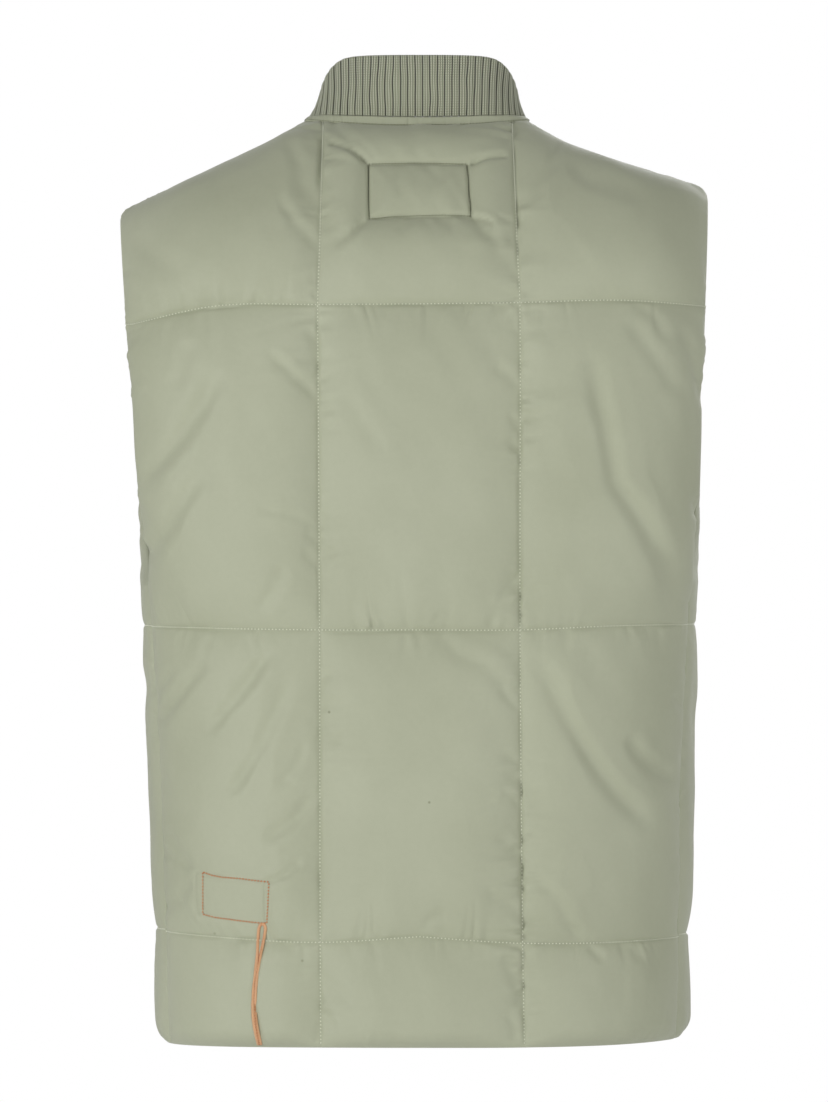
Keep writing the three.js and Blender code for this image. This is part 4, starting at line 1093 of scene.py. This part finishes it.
left_columns = np.append(spread(BACK_MIDDLE_COUNT, NECK_BOX_COLUMN, end=0), 1.0)
back_side = side_shares(BACK, BACK_COUNTS, SLIT_COLUMNS)
back_line = len(back_side)
back_end = 2 * (back_line + BACK_MIDDLE_COUNT)
back = make_panel(
    "back", BACK,
    [("left", False, back_side), ("left", True, left_columns[:-1]),
     ("right", True, left_columns[::-1]), ("right", False, back_side[::-1])],
    [back_line, back_end - back_line], back_line + BACK_MIDDLE_COUNT, [0, back_end],
)
front_side = side_shares(FRONT, FRONT_COUNTS)
front_line = len(front_side)
front_end = front_line + FRONT_MIDDLE_COUNT
fronts = {}
for side in ("left", "right"):
    fronts[side] = make_panel(
        side, FRONT,
        [(side, False, front_side), (side, True, np.append(spread(FRONT_MIDDLE_COUNT), 1.0))],
        [front_line], front_end, [0, front_end],
    )
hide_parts("back")
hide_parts("front_left")
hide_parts("front_right")


def sweep(rings, closed_ends=True):
    """A closed skin over rings of equal numbers of points."""
    count, around_count = rings.shape[:2]
    ids = np.arange(count * around_count).reshape(count, around_count)
    wrapped = np.concatenate([ids, ids[:, :1]], 1)
    points = [rings.reshape(-1, 3)]
    faces = [quads_of(wrapped)]
    for ring, end in ((ids[0], 0), (ids[-1], 1)):
        centre = count * around_count + end
        points.append(rings[0 if end == 0 else -1].mean(0, keepdims=True))
        fan = np.stack([np.full(around_count, centre), np.roll(ring, -1), ring], -1)
        faces.append(flipped(fan) if end == 0 else fan)
    points = np.concatenate(points)
    return points, closed_faces(points, [faces[0], np.concatenate(faces[1:])])


# Collar and band, on frames that lean from the neck edge to the collar's top edge


def neck_edge(side, quarter):
    half = NECK_HALF[side]
    angle = np.clip(quarter, 0, 1) * math.pi / 2
    power = 2 / NECK_SQUARENESS
    x = half * np.sin(angle) ** power
    y = NECK_BACK_DEPTH * np.maximum(np.cos(angle), 0) ** power
    behind = np.stack([x, y, lerp(-NECK_BACK_DIP, NECK_POINT_HEIGHT, (x / half) ** 2)], -1)
    angle = np.clip(quarter - 1, 0, 1) * math.acos(OPENING_HALF / half)
    z = NECK_POINT_HEIGHT - NECK_FRONT_DROP * np.sin(angle) ** 1.4
    ahead = np.stack([half * np.cos(angle), -NECK_FRONT_DEPTH * np.sin(angle), z], -1)
    return np.where((quarter <= 1)[..., None], behind, ahead)


def collar_edge(side, quarter):
    angle = np.clip(quarter, 0, 1) * math.pi / 2
    power = 2 / COLLAR_TOP_SQUARENESS
    x = COLLAR_TOP_HALF * np.sin(angle) ** power
    y = lerp(COLLAR_TOP_SIDE, COLLAR_TOP_BACK, np.maximum(np.cos(angle), 0) ** power)
    angle = np.clip(quarter - 1, 0, 1) * math.acos(OPENING_HALF / COLLAR_TOP_HALF)
    x = np.where(quarter <= 1, x, COLLAR_TOP_HALF * np.cos(angle))
    y = np.where(quarter <= 1, y, lerp(COLLAR_TOP_SIDE, COLLAR_TOP_FRONT, np.sin(angle)))
    below = 4 * np.log(1 + np.exp((COLLAR_TILT_START - y) / 4))
    return np.stack([x, y, COLLAR_TOP_HEIGHT - COLLAR_TOP_TILT * below], -1)


def edge_points(edge, place):
    """Points of an edge where equal shares of a quarter are equal lengths; place runs from -2 to 2."""
    result = np.zeros(place.shape + (3,))
    even = np.linspace(0, 1, 801)
    for side, sign in (("left", 1), ("right", -1)):
        for first in (0, 1):
            line = edge(side, first + even * (1 - 1e-9 * (first == 0)) + 1e-9 * first)
            lengths = np.append(0, np.cumsum(np.linalg.norm(np.diff(line, axis=0), axis=1)))
            quarter = np.abs(place)
            here = (np.sign(place) == sign) | ((place == 0) & (sign == 1))
            here &= (quarter > 1) if first else (quarter <= 1)
            share = np.interp((quarter[here] - first) * lengths[-1], lengths, even)
            found = edge(side, first + np.where(first == 1, np.maximum(share, 1e-9), share))
            result[here] = found * (sign, 1, 1)
    return result


def rib_place(rib, closeness=1.0):
    """Where a rib stands round the neck: 0 at the middle of the back, 1 at the side, 2 at the zip."""
    count = np.abs(rib)
    share = np.minimum(count / RIBS_BACK_QUARTER, 1)
    behind = share * (closeness + (1 - closeness) * share**2)
    beyond = np.maximum(count - RIBS_BACK_QUARTER, 0) / RIBS_FRONT_QUARTER
    return np.sign(rib) * np.minimum(behind + beyond, 2)


def collar_frames(place):
    base, top = edge_points(neck_edge, place), edge_points(collar_edge, place)
    up = top - base
    length = np.linalg.norm(up, axis=-1)
    up = up / length[..., None]
    ahead = edge_points(neck_edge, np.minimum(place + 0.02, 2))
    tangent = ahead - edge_points(neck_edge, np.maximum(place - 0.02, -2))
    out = np.cross(up, tangent)
    return base, up, out / np.linalg.norm(out, axis=-1, keepdims=True), length


LAST_RIB = RIBS_BACK_QUARTER + RIBS_FRONT_QUARTER
RIB_STEPS = [0, 0.035, 0.075, 0.13, 0.22, 0.36, 0.5, 0.64, 0.78, 0.87, 0.925, 0.965]
RIBS_CLOSE_LOW = 0.89
RIBS_CLOSE_HIGH = 0.72
COLLAR_START = BAND_HEIGHT + 1.5 * LAID_GAP


def make_collar():
    ribs = int(2 * LAST_RIB)
    number = np.append((np.arange(ribs)[:, None] + np.array(RIB_STEPS)[None]).ravel(), ribs)
    rise_rows, turn_rows, fall_rows = np.linspace(0, 1, 40), np.linspace(0, 180, 9)[1:-1], np.linspace(1, 0, 16)
    share = np.concatenate([rise_rows, np.ones(len(turn_rows)), fall_rows])
    angle = np.radians(np.concatenate([0 * rise_rows, turn_rows, 180 + 0 * fall_rows]))
    rib, level = np.meshgrid(number, share, indexing="ij")
    sway = 0.2 * noise_plane(11, rib, 30 * level, 4.3, 17) * smooth(level / 0.5)
    sway += 0.06 * noise_plane(12, rib, 30 * level, 1.0, 9) * smooth(level / 0.2)
    ends = np.clip(np.minimum(rib, ribs - rib) / 2, 0, 1)
    place = rib_place(rib - LAST_RIB + sway * ends, lerp(RIBS_CLOSE_LOW, RIBS_CLOSE_HIGH, level))
    base, up, out, length = collar_frames(place)
    to_end = (2 - np.abs(rib_place(rib - LAST_RIB))) * COLLAR_QUARTER_LENGTH
    cut = np.clip(COLLAR_CORNER - to_end, 0, COLLAR_CORNER)
    corner = COLLAR_CORNER - np.sqrt(COLLAR_CORNER**2 - cut**2)
    half = COLLAR_WALL / 2
    tall = length - COLLAR_START - corner - half
    along = COLLAR_START + tall * level + half * np.sin(angle)
    groove = 1 - np.abs(np.sin(math.pi * rib))
    deep = RIB_DEPTH * (1.0 + 0.35 * noise_plane(13, np.round(rib), 30 * level, 1.0, 14))
    ribbed = -deep * groove**4 + 0.3 * (0.35 - groove) + 0.12 * noise_plane(14, rib, along, 0.35, 1.6)
    outward = -half + (half + ribbed) * np.cos(angle)
    thin = np.sqrt(np.clip(1 - (1 - np.clip(to_end / half, 0, 1)) ** 2, 0.04, 1))
    outward = -half + (outward + half) * thin
    rings = base + up * along[..., None] + out * outward[..., None]
    points, faces = sweep(rings)
    uv = np.concatenate([np.stack([rib, along], -1).reshape(-1, 2), [[0, 0], [ribs, 0]]])
    piece = new_piece("rib_knit_collar", points, faces, knit, uv=uv)
    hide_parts("rib_collar")
    return piece


BAND_LAP = 1.1


def make_band():
    number = np.linspace(-LAST_RIB, LAST_RIB, 700)
    share = np.concatenate([np.linspace(0, 1, 11), [1, 0.97, 0.5, 0.03, 0]])
    face = np.concatenate([np.full(11, 1.0), [0.5, 0, 0, 0, 0.5]])
    place, level = np.meshgrid(rib_place(number), share, indexing="ij")
    side = np.broadcast_to(face, place.shape)
    base, up, out, _ = collar_frames(place)
    length = place * COLLAR_QUARTER_LENGTH
    pleat = 2 * np.abs(noise_line(21, length + 1.2 * level, 7.5)) - 0.7
    pleat = pleat * (0.55 + 0.5 * noise_line(22, length, 40)) + 0.3 * noise_line(23, length, 3.1)
    swell = np.sin(math.pi * level) ** 0.6
    outward = 0.7 - 0.9 * level + 0.55 * swell + 0.8 * pleat * swell - 0.2 * (level < 0.05)
    outward = np.where(side == 1, outward, 0.4 - BAND_WALL * (1 - side))
    along = lerp(-BAND_LAP, BAND_HEIGHT, level) + 0.25 * noise_line(24, length, 16) * (level > 0.6)
    to_end = (2 - np.abs(place)) * COLLAR_QUARTER_LENGTH
    thin = np.sqrt(np.clip(1 - (1 - np.clip(to_end / 1.3, 0, 1)) ** 2, 0.05, 1))
    centre = 0.4 - BAND_WALL / 2
    outward = centre + (outward - centre) * thin
    rings = base + up * along[..., None] + out * outward[..., None]
    points, faces = sweep(rings)
    uv = np.concatenate([np.stack([length, along + 4 * (1 - side)], -1).reshape(-1, 2), [[0, 0], [0, 0]]]) * MM
    piece = new_piece("neck_band_cloth", points, faces, shell, uv=uv)
    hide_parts("neck_band")
    return piece, rings, out


collar = make_collar()
band, band_rings, band_out = make_band()


# Sewing
STITCH_SIDES = 6
STITCH_RINGS = [(-0.5, 0.5, -1.0), (-0.28, 1.0, 0.0), (0.28, 1.0, 0.0), (0.5, 0.5, -1.0)]


def spaced_along(points, pitch):
    """Places at an even pitch along a line, with the line's direction and any other values there."""
    steps = np.linalg.norm(np.diff(points[:, :3], axis=0), axis=1)
    lengths = np.append(0, np.cumsum(steps))
    count = max(int(lengths[-1] / pitch), 1)
    at = (np.arange(count) + 0.5) * lengths[-1] / count
    found = np.stack([np.interp(at, lengths, points[:, k]) for k in range(points.shape[1])], -1)
    ahead = np.stack([np.interp(at + 0.8, lengths, points[:, k]) for k in range(3)], -1)
    behind = np.stack([np.interp(at - 0.8, lengths, points[:, k]) for k in range(3)], -1)
    along = ahead - behind
    return found, along / np.linalg.norm(along, axis=1, keepdims=True)


def stitch_line(seed, path, normals, pitch=2.7, length=1.1, radius=0.44, lift=0.5):
    """Stitches laid along a path as short bent capsules whose ends dip into the cloth."""
    found, along = spaced_along(np.concatenate([path, normals], 1), pitch)
    centre, normal = found[:, :3], found[:, 3:]
    normal = normal / np.linalg.norm(normal, axis=1, keepdims=True)
    beside = np.cross(normal, along)
    beside /= np.linalg.norm(beside, axis=1, keepdims=True)
    rng = np.random.default_rng(seed)
    turn = 0.07 + rng.uniform(-0.09, 0.09, len(centre))
    along = along * np.cos(turn)[:, None] + beside * np.sin(turn)[:, None]
    beside = np.cross(normal, along)
    long = length * rng.uniform(0.88, 1.08, len(centre))
    angles = np.linspace(0, 2 * math.pi, STITCH_SIDES, endpoint=False)
    rings = []
    for at, wide, dip in STITCH_RINGS:
        middle = centre + along * (long * at)[:, None] + normal * (lift + dip * radius * 1.2)
        rings.append(
            middle[:, None] + radius * wide * (
                beside[:, None] * np.cos(angles)[None, :, None] + normal[:, None] * np.sin(angles)[None, :, None]
            )
        )
    rings = np.stack(rings, 1)
    count = len(centre)
    per = len(STITCH_RINGS) * STITCH_SIDES
    ids = np.arange(per).reshape(len(STITCH_RINGS), STITCH_SIDES)
    side = quads_of(np.concatenate([ids, ids[:, :1]], 1))
    caps = np.stack([ids[0][::-1], ids[-1]])
    shift = (np.arange(count) * per)[:, None, None]
    return rings.reshape(-1, 3), [(side + shift).reshape(-1, 4), (caps + shift).reshape(-1, STITCH_SIDES)]


def joined(parts):
    """Several sets of points and faces as one."""
    points, faces, start = [], {}, 0
    for part_points, part_faces in parts:
        points.append(part_points)
        for f in part_faces:
            faces.setdefault(f.shape[1], []).append(f + start)
        start += len(part_points)
    return np.concatenate(points), [np.concatenate(f) for f in faces.values()]


def outward_faces(parts):
    return [(p, closed_faces(p, f)) for p, f in parts]


def panel_stitches(panel, columns, seed, first_row=1):
    """The stitches of a panel's upright and level quilting lines."""
    outer, normals = panel["outer"], panel["normals"]
    parts = []
    for k, column in enumerate(columns):
        keep = slice(first_row, None)
        parts.append(stitch_line(seed + k, outer[column, keep], normals[column, keep]))
    for k, row in enumerate(LINE_ROWS[1:]):
        parts.append(stitch_line(seed + 10 + k, outer[1:-1, row], normals[1:-1, row]))
    return parts


back_grid = back["outer"]
back_ids = np.arange(back_grid.shape[0] * back_grid.shape[1]).reshape(back_grid.shape[:2])
back_tree = BVHTree.FromPolygons(back_grid.reshape(-1, 3).tolist(), quads_of(back_ids).tolist())


def seen_on_back(pixels, step=0.7):
    """The back's points and normals under a line drawn on the photograph."""
    line = np.array(mm_path(pixels))
    lengths = np.append(0, np.cumsum(np.linalg.norm(np.diff(line, axis=0), axis=1)))
    at = np.linspace(0, lengths[-1], max(int(lengths[-1] / step), 2))
    eye = Vector(EYE)
    points, normals = [], []
    for x, z in zip(np.interp(at, lengths, line[:, 0]), np.interp(at, lengths, line[:, 1])):
        hit, normal, _, _ = back_tree.ray_cast(eye, (Vector((x, 0, z)) - eye).normalized())
        if hit is not None:
            points.append(hit)
            normals.append(normal if normal.y > 0 else -normal)
    return np.array(points), np.array(normals)


def stitches_piece(name, parts, material):
    points, faces = joined(outward_faces(parts))
    return new_piece(name, points, faces, material)


stitches_piece("back_quilting_stitches", panel_stitches(back, [back_line, back_end - back_line], 400), green_thread)
box_points, box_normals = seen_on_back(NECK_BOX)
# The neck box's stitches take the thread with painted shade
stitches_piece("neck_box_stitches", [stitch_line(420, box_points, box_normals, 2.4, 1.3, 0.36, 0.1)], shade_painted_thread)
for side, seed in (("left", 440), ("right", 460)):
    stitches_piece(
        f"front_{side}_quilting_stitches", panel_stitches(fronts[side], [front_line], seed), green_thread
    )
band_low = lerp(band_rings[:, 2], band_rings[:, 1], 0.4)
# The band's lower stitches take the thread with painted shade
stitches_piece("neck_band_stitches", [stitch_line(480, band_low, band_out[:, 1], 2.4, 1.2, 0.3, 0.1)], shade_painted_thread)
orange_points, orange_normals = seen_on_back(ORANGE_BOX)
stitches_piece(
    "orange_box_stitches",
    [stitch_line(490, orange_points, orange_normals, 2.45, 1.3, 0.6, 0.45)], orange_thread,
)

# The binding round the slit: one narrow strip up one side, round the top and down the other
BINDING_PX = [
    (258.3, 1044.4), (254.7, 1030), (253.2, 1017), (252.8, 1002), (253.8, 985), (255.8, 969), (257.4, 955),
    (258.0, 940), (258.5, 930), (259.6, 925.6), (262, 923.6), (264.5, 924.4), (265.6, 928), (265, 934),
    (263.2, 943), (260.9, 953), (259.3, 962), (258.2, 970), (256.3, 985), (255.4, 1002), (255.8, 1017),
    (257.4, 1030), (261.0, 1044.4),
]
BINDING_HALF = 1.3
BINDING_HEIGHT = 1.15


def rounded_path(pixels, turns=3):
    """Cuts the corners of a line so that it runs smoothly."""
    line = np.array(pixels, float)
    for _ in range(turns):
        cut = np.stack([lerp(line[:-1], line[1:], 0.25), lerp(line[:-1], line[1:], 0.75)], 1).reshape(-1, 2)
        line = np.concatenate([line[:1], cut, line[-1:]])
    return [tuple(p) for p in line]


def make_binding():
    points, normals = seen_on_back(rounded_path(BINDING_PX), 0.6)
    kernel = np.ones(7) / 7
    for k in range(3):
        padded = np.pad(normals[:, k], 3, mode="edge")
        normals[:, k] = np.convolve(padded, kernel, mode="valid")
    normals /= np.linalg.norm(normals, axis=1, keepdims=True)
    along = np.gradient(points, axis=0)
    along /= np.maximum(np.linalg.norm(along, axis=1, keepdims=True), 1e-9)
    beside = np.cross(normals, along)
    across = np.concatenate([np.linspace(-1, 1, 9), [0.6, 0, -0.6]])
    profile = np.where(np.arange(12) < 9, np.sqrt(np.clip(1 - across**4, 0, 1)) - 0.18, -0.25)
    at = np.arange(len(points)) * 0.6
    uneven = 1 + 0.1 * noise_line(61, at, 5.0)
    width = BINDING_HALF * uneven
    rings = (
        points[:, None] + beside[:, None] * (across[None] * width[:, None])[..., None]
        + normals[:, None] * (profile * BINDING_HEIGHT)[None, :, None]
    )
    mesh_points, faces = sweep(rings)
    place = np.stack(np.broadcast_arrays(across[None] * BINDING_HALF, at[:, None]), -1).reshape(-1, 2)
    uv = np.concatenate([place, [[0, 0], [0, 0]]]) * MM
    piece = new_piece("slit_binding_strip", mesh_points, faces, binding_tape, uv=uv)
    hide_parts("slit_binding")
    edge = points + beside * (-0.62 * BINDING_HALF) + normals * (BINDING_HEIGHT * 0.72)
    stitches_piece(
        "slit_binding_stitches", [stitch_line(62, edge, normals, 2.2, 1.5, 0.2, 0.1)], orange_thread
    )
    return piece, at[-1]


binding, binding_length = make_binding()

# The zip, along the middle of the front
TAPE_DEPTH = SEAM_WALL + LAID_GAP
CHAIN_THICKNESS = 2.3
TOOTH_PITCH = 2.5
TOOTH_WIDTH = 1.05
TOOTH_NOSE = 0.8
BOX_HEIGHT = 9.0
SLIDER_DOWN = 17.0
SLIDER_HALF_LENGTH = 5.5

zip_line = (fronts["left"]["seams"][-1] + fronts["right"]["seams"][-1]) / 2
zip_line[:, 0] = 0
zip_up = np.gradient(zip_line, axis=0)
zip_up /= np.linalg.norm(zip_up, axis=1, keepdims=True)
zip_out = np.stack([0 * zip_up[:, 0], -zip_up[:, 2], zip_up[:, 1]], -1)
zip_lengths = np.append(0, np.cumsum(np.linalg.norm(np.diff(zip_line, axis=0), axis=1)))


def make_tape(side):
    sign = 1 if side == "left" else -1
    top = np.linspace(0, 1, 12)
    share = np.concatenate([top, top[::-1]])
    edge = np.sqrt(np.clip(1 - (2 * share - 1) ** 14, 0, 1))
    depth = TAPE_DEPTH + TAPE_THICKNESS / 2 + np.where(np.arange(24) < 12, -0.5, 0.5) * TAPE_THICKNESS * edge
    x = sign * lerp(TAPE_INNER, TAPE_OUTER, share)
    rings = zip_line[:, None] - zip_out[:, None] * depth[None, :, None]
    rings[..., 0] = x
    points, faces = sweep(rings)
    place = np.stack(np.broadcast_arrays(x[None], zip_lengths[:, None]), -1).reshape(-1, 2)
    uv = np.concatenate([place, [[0, 0], [0, 0]]]) * MM
    piece = new_piece(f"zip_tape_{side}_cloth", points, faces, zip_cloth, uv=uv)
    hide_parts(f"zip_tape_{side}")
    return piece


def make_teeth():
    """Two rows of cast teeth whose rounded noses pass between each other."""
    outline = np.array([
        (-TOOTH_NOSE, -0.45), (-TOOTH_NOSE * 0.55, -0.8), (1.2, -0.72), (CHAIN_HALF - 0.3, -1.0),
        (CHAIN_HALF, -0.7), (CHAIN_HALF, 0.7), (CHAIN_HALF - 0.3, 1.0), (1.2, 0.72),
        (-TOOTH_NOSE * 0.55, 0.8), (-TOOTH_NOSE, 0.45),
    ])
    layers = [(-0.5, 0.8), (-0.36, 1.0), (0.36, 1.0), (0.5, 0.8)]
    start = BOX_HEIGHT + 1.2
    end = zip_lengths[-1] - SLIDER_DOWN + SLIDER_HALF_LENGTH - 0.5
    at = np.arange(start, end, TOOTH_PITCH / 2)
    centre = np.stack([np.interp(at, zip_lengths, zip_line[:, k]) for k in range(3)], -1)
    up = np.stack([np.interp(at, zip_lengths, zip_up[:, k]) for k in range(3)], -1)
    out = np.stack([np.interp(at, zip_lengths, zip_out[:, k]) for k in range(3)], -1)
    middle = TAPE_DEPTH - LAID_GAP - CHAIN_THICKNESS / 2
    half = CHAIN_THICKNESS / 2
    parts = []
    for k, (point, lift, away) in enumerate(zip(centre, up, out)):
        sign = 1 if k % 2 else -1
        rings = []
        for height, grown in layers:
            ring = point + lift * height * TOOTH_WIDTH + away * (
                outline[:, 1:] * half * grown - middle
            )
            ring = ring + np.array([1.0, 0, 0]) * sign * outline[:, :1] * np.where(outline[:, :1] > 0, 1, grown)
            rings.append(ring)
        parts.append(sweep(np.array(rings)))
    points, faces = joined(parts)
    piece = new_piece("zip_teeth", points, faces, zip_metal)
    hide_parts("zip_chain")
    return piece


tapes = {side: make_tape(side) for side in ("left", "right")}
teeth = make_teeth()
for name in ("zip_box", "zip_slider", "zip_pull"):
    metal_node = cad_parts[name]
    metal_node.data.materials.clear()
    metal_node.data.materials.append(zip_metal)


# Floor, light and camera
def stage_material():
    material = bpy.data.materials.new("pale_floor")
    _, shader = nodes_of(material)
    shader.inputs["Base Color"].default_value = linear(243, 243, 243)
    shader.inputs["Roughness"].default_value = 0.9
    return material


def add_floor():
    mesh = bpy.data.meshes.new("floor")
    half, level = 9.0, -1.45
    mesh.from_pydata(
        [(-half, -half, level), (half, -half, level), (half, half, level), (-half, half, level)], [], [(0, 1, 2, 3)]
    )
    mesh.materials.append(stage_material())
    floor = bpy.data.objects.new("floor", mesh)
    bpy.context.scene.collection.objects.link(floor)


def add_area_light(name, place, target, size, power, colour=(1, 1, 1)):
    data = bpy.data.lights.new(name, "AREA")
    data.shape = "RECTANGLE"
    data.size, data.size_y = size
    data.energy = power
    data.color = colour
    light = bpy.data.objects.new(name, data)
    light.location = place
    light.rotation_euler = (Vector(target) - Vector(place)).to_track_quat("-Z", "Y").to_euler()
    bpy.context.scene.collection.objects.link(light)


# Strength of the light from low and from high around the vest; straight behind it is a white backdrop
LOW_LIGHT = 0.5
HIGH_LIGHT = 0.36


def add_world():
    """Soft light all round, weaker from above, and a white backdrop straight behind the vest."""
    world = bpy.data.worlds.new("studio")
    world.use_nodes = True
    tree = world.node_tree
    background = tree.nodes["Background"]
    ray = node(tree, "SeparateXYZ", {0: node(tree, "TexCoord").outputs["Generated"]})
    behind = node(
        tree, "MapRange",
        {"Value": ray.outputs["Y"], "From Min": -0.94, "From Max": -0.975, "To Min": 0.0, "To Max": 1.0},
    ).outputs[0]
    height = node(
        tree, "MapRange",
        {"Value": ray.outputs["Z"], "From Min": -0.6, "From Max": 0.8, "To Min": LOW_LIGHT, "To Max": HIGH_LIGHT},
    ).outputs[0]
    level = math_node(tree, "MAXIMUM", behind, height)
    tree.links.new(level, background.inputs["Strength"])
    background.inputs["Color"].default_value = (1.0, 1.0, 1.0, 1.0)
    bpy.context.scene.world = world


def add_camera():
    data = bpy.data.cameras.new("photo_camera")
    data.sensor_fit = "VERTICAL"
    data.sensor_height = SENSOR_MM
    data.lens = SENSOR_MM * EYE[1] / (PHOTO_HEIGHT_PX * PHOTO_SCALE)
    data.clip_end = 60
    camera = bpy.data.objects.new("photo_camera", data)
    camera.location = Vector(EYE) * MM
    camera.rotation_euler = (math.pi / 2, 0, math.pi)
    bpy.context.scene.collection.objects.link(camera)
    bpy.context.scene.camera = camera


add_floor()
add_world()
add_area_light("key", (2.7, 2.9, -0.3), (0, 0, -0.35), (0.9, 1.4), 62)
add_area_light("fill", (-2.6, 2.8, -0.1), (0, 0, -0.35), (2.0, 2.4), 34)
add_area_light("front", (-0.8, -3.4, 0.8), (0, 0, -0.35), (2.0, 2.0), 40)
add_camera()
bpy.context.scene.view_settings.view_transform = "Standard"
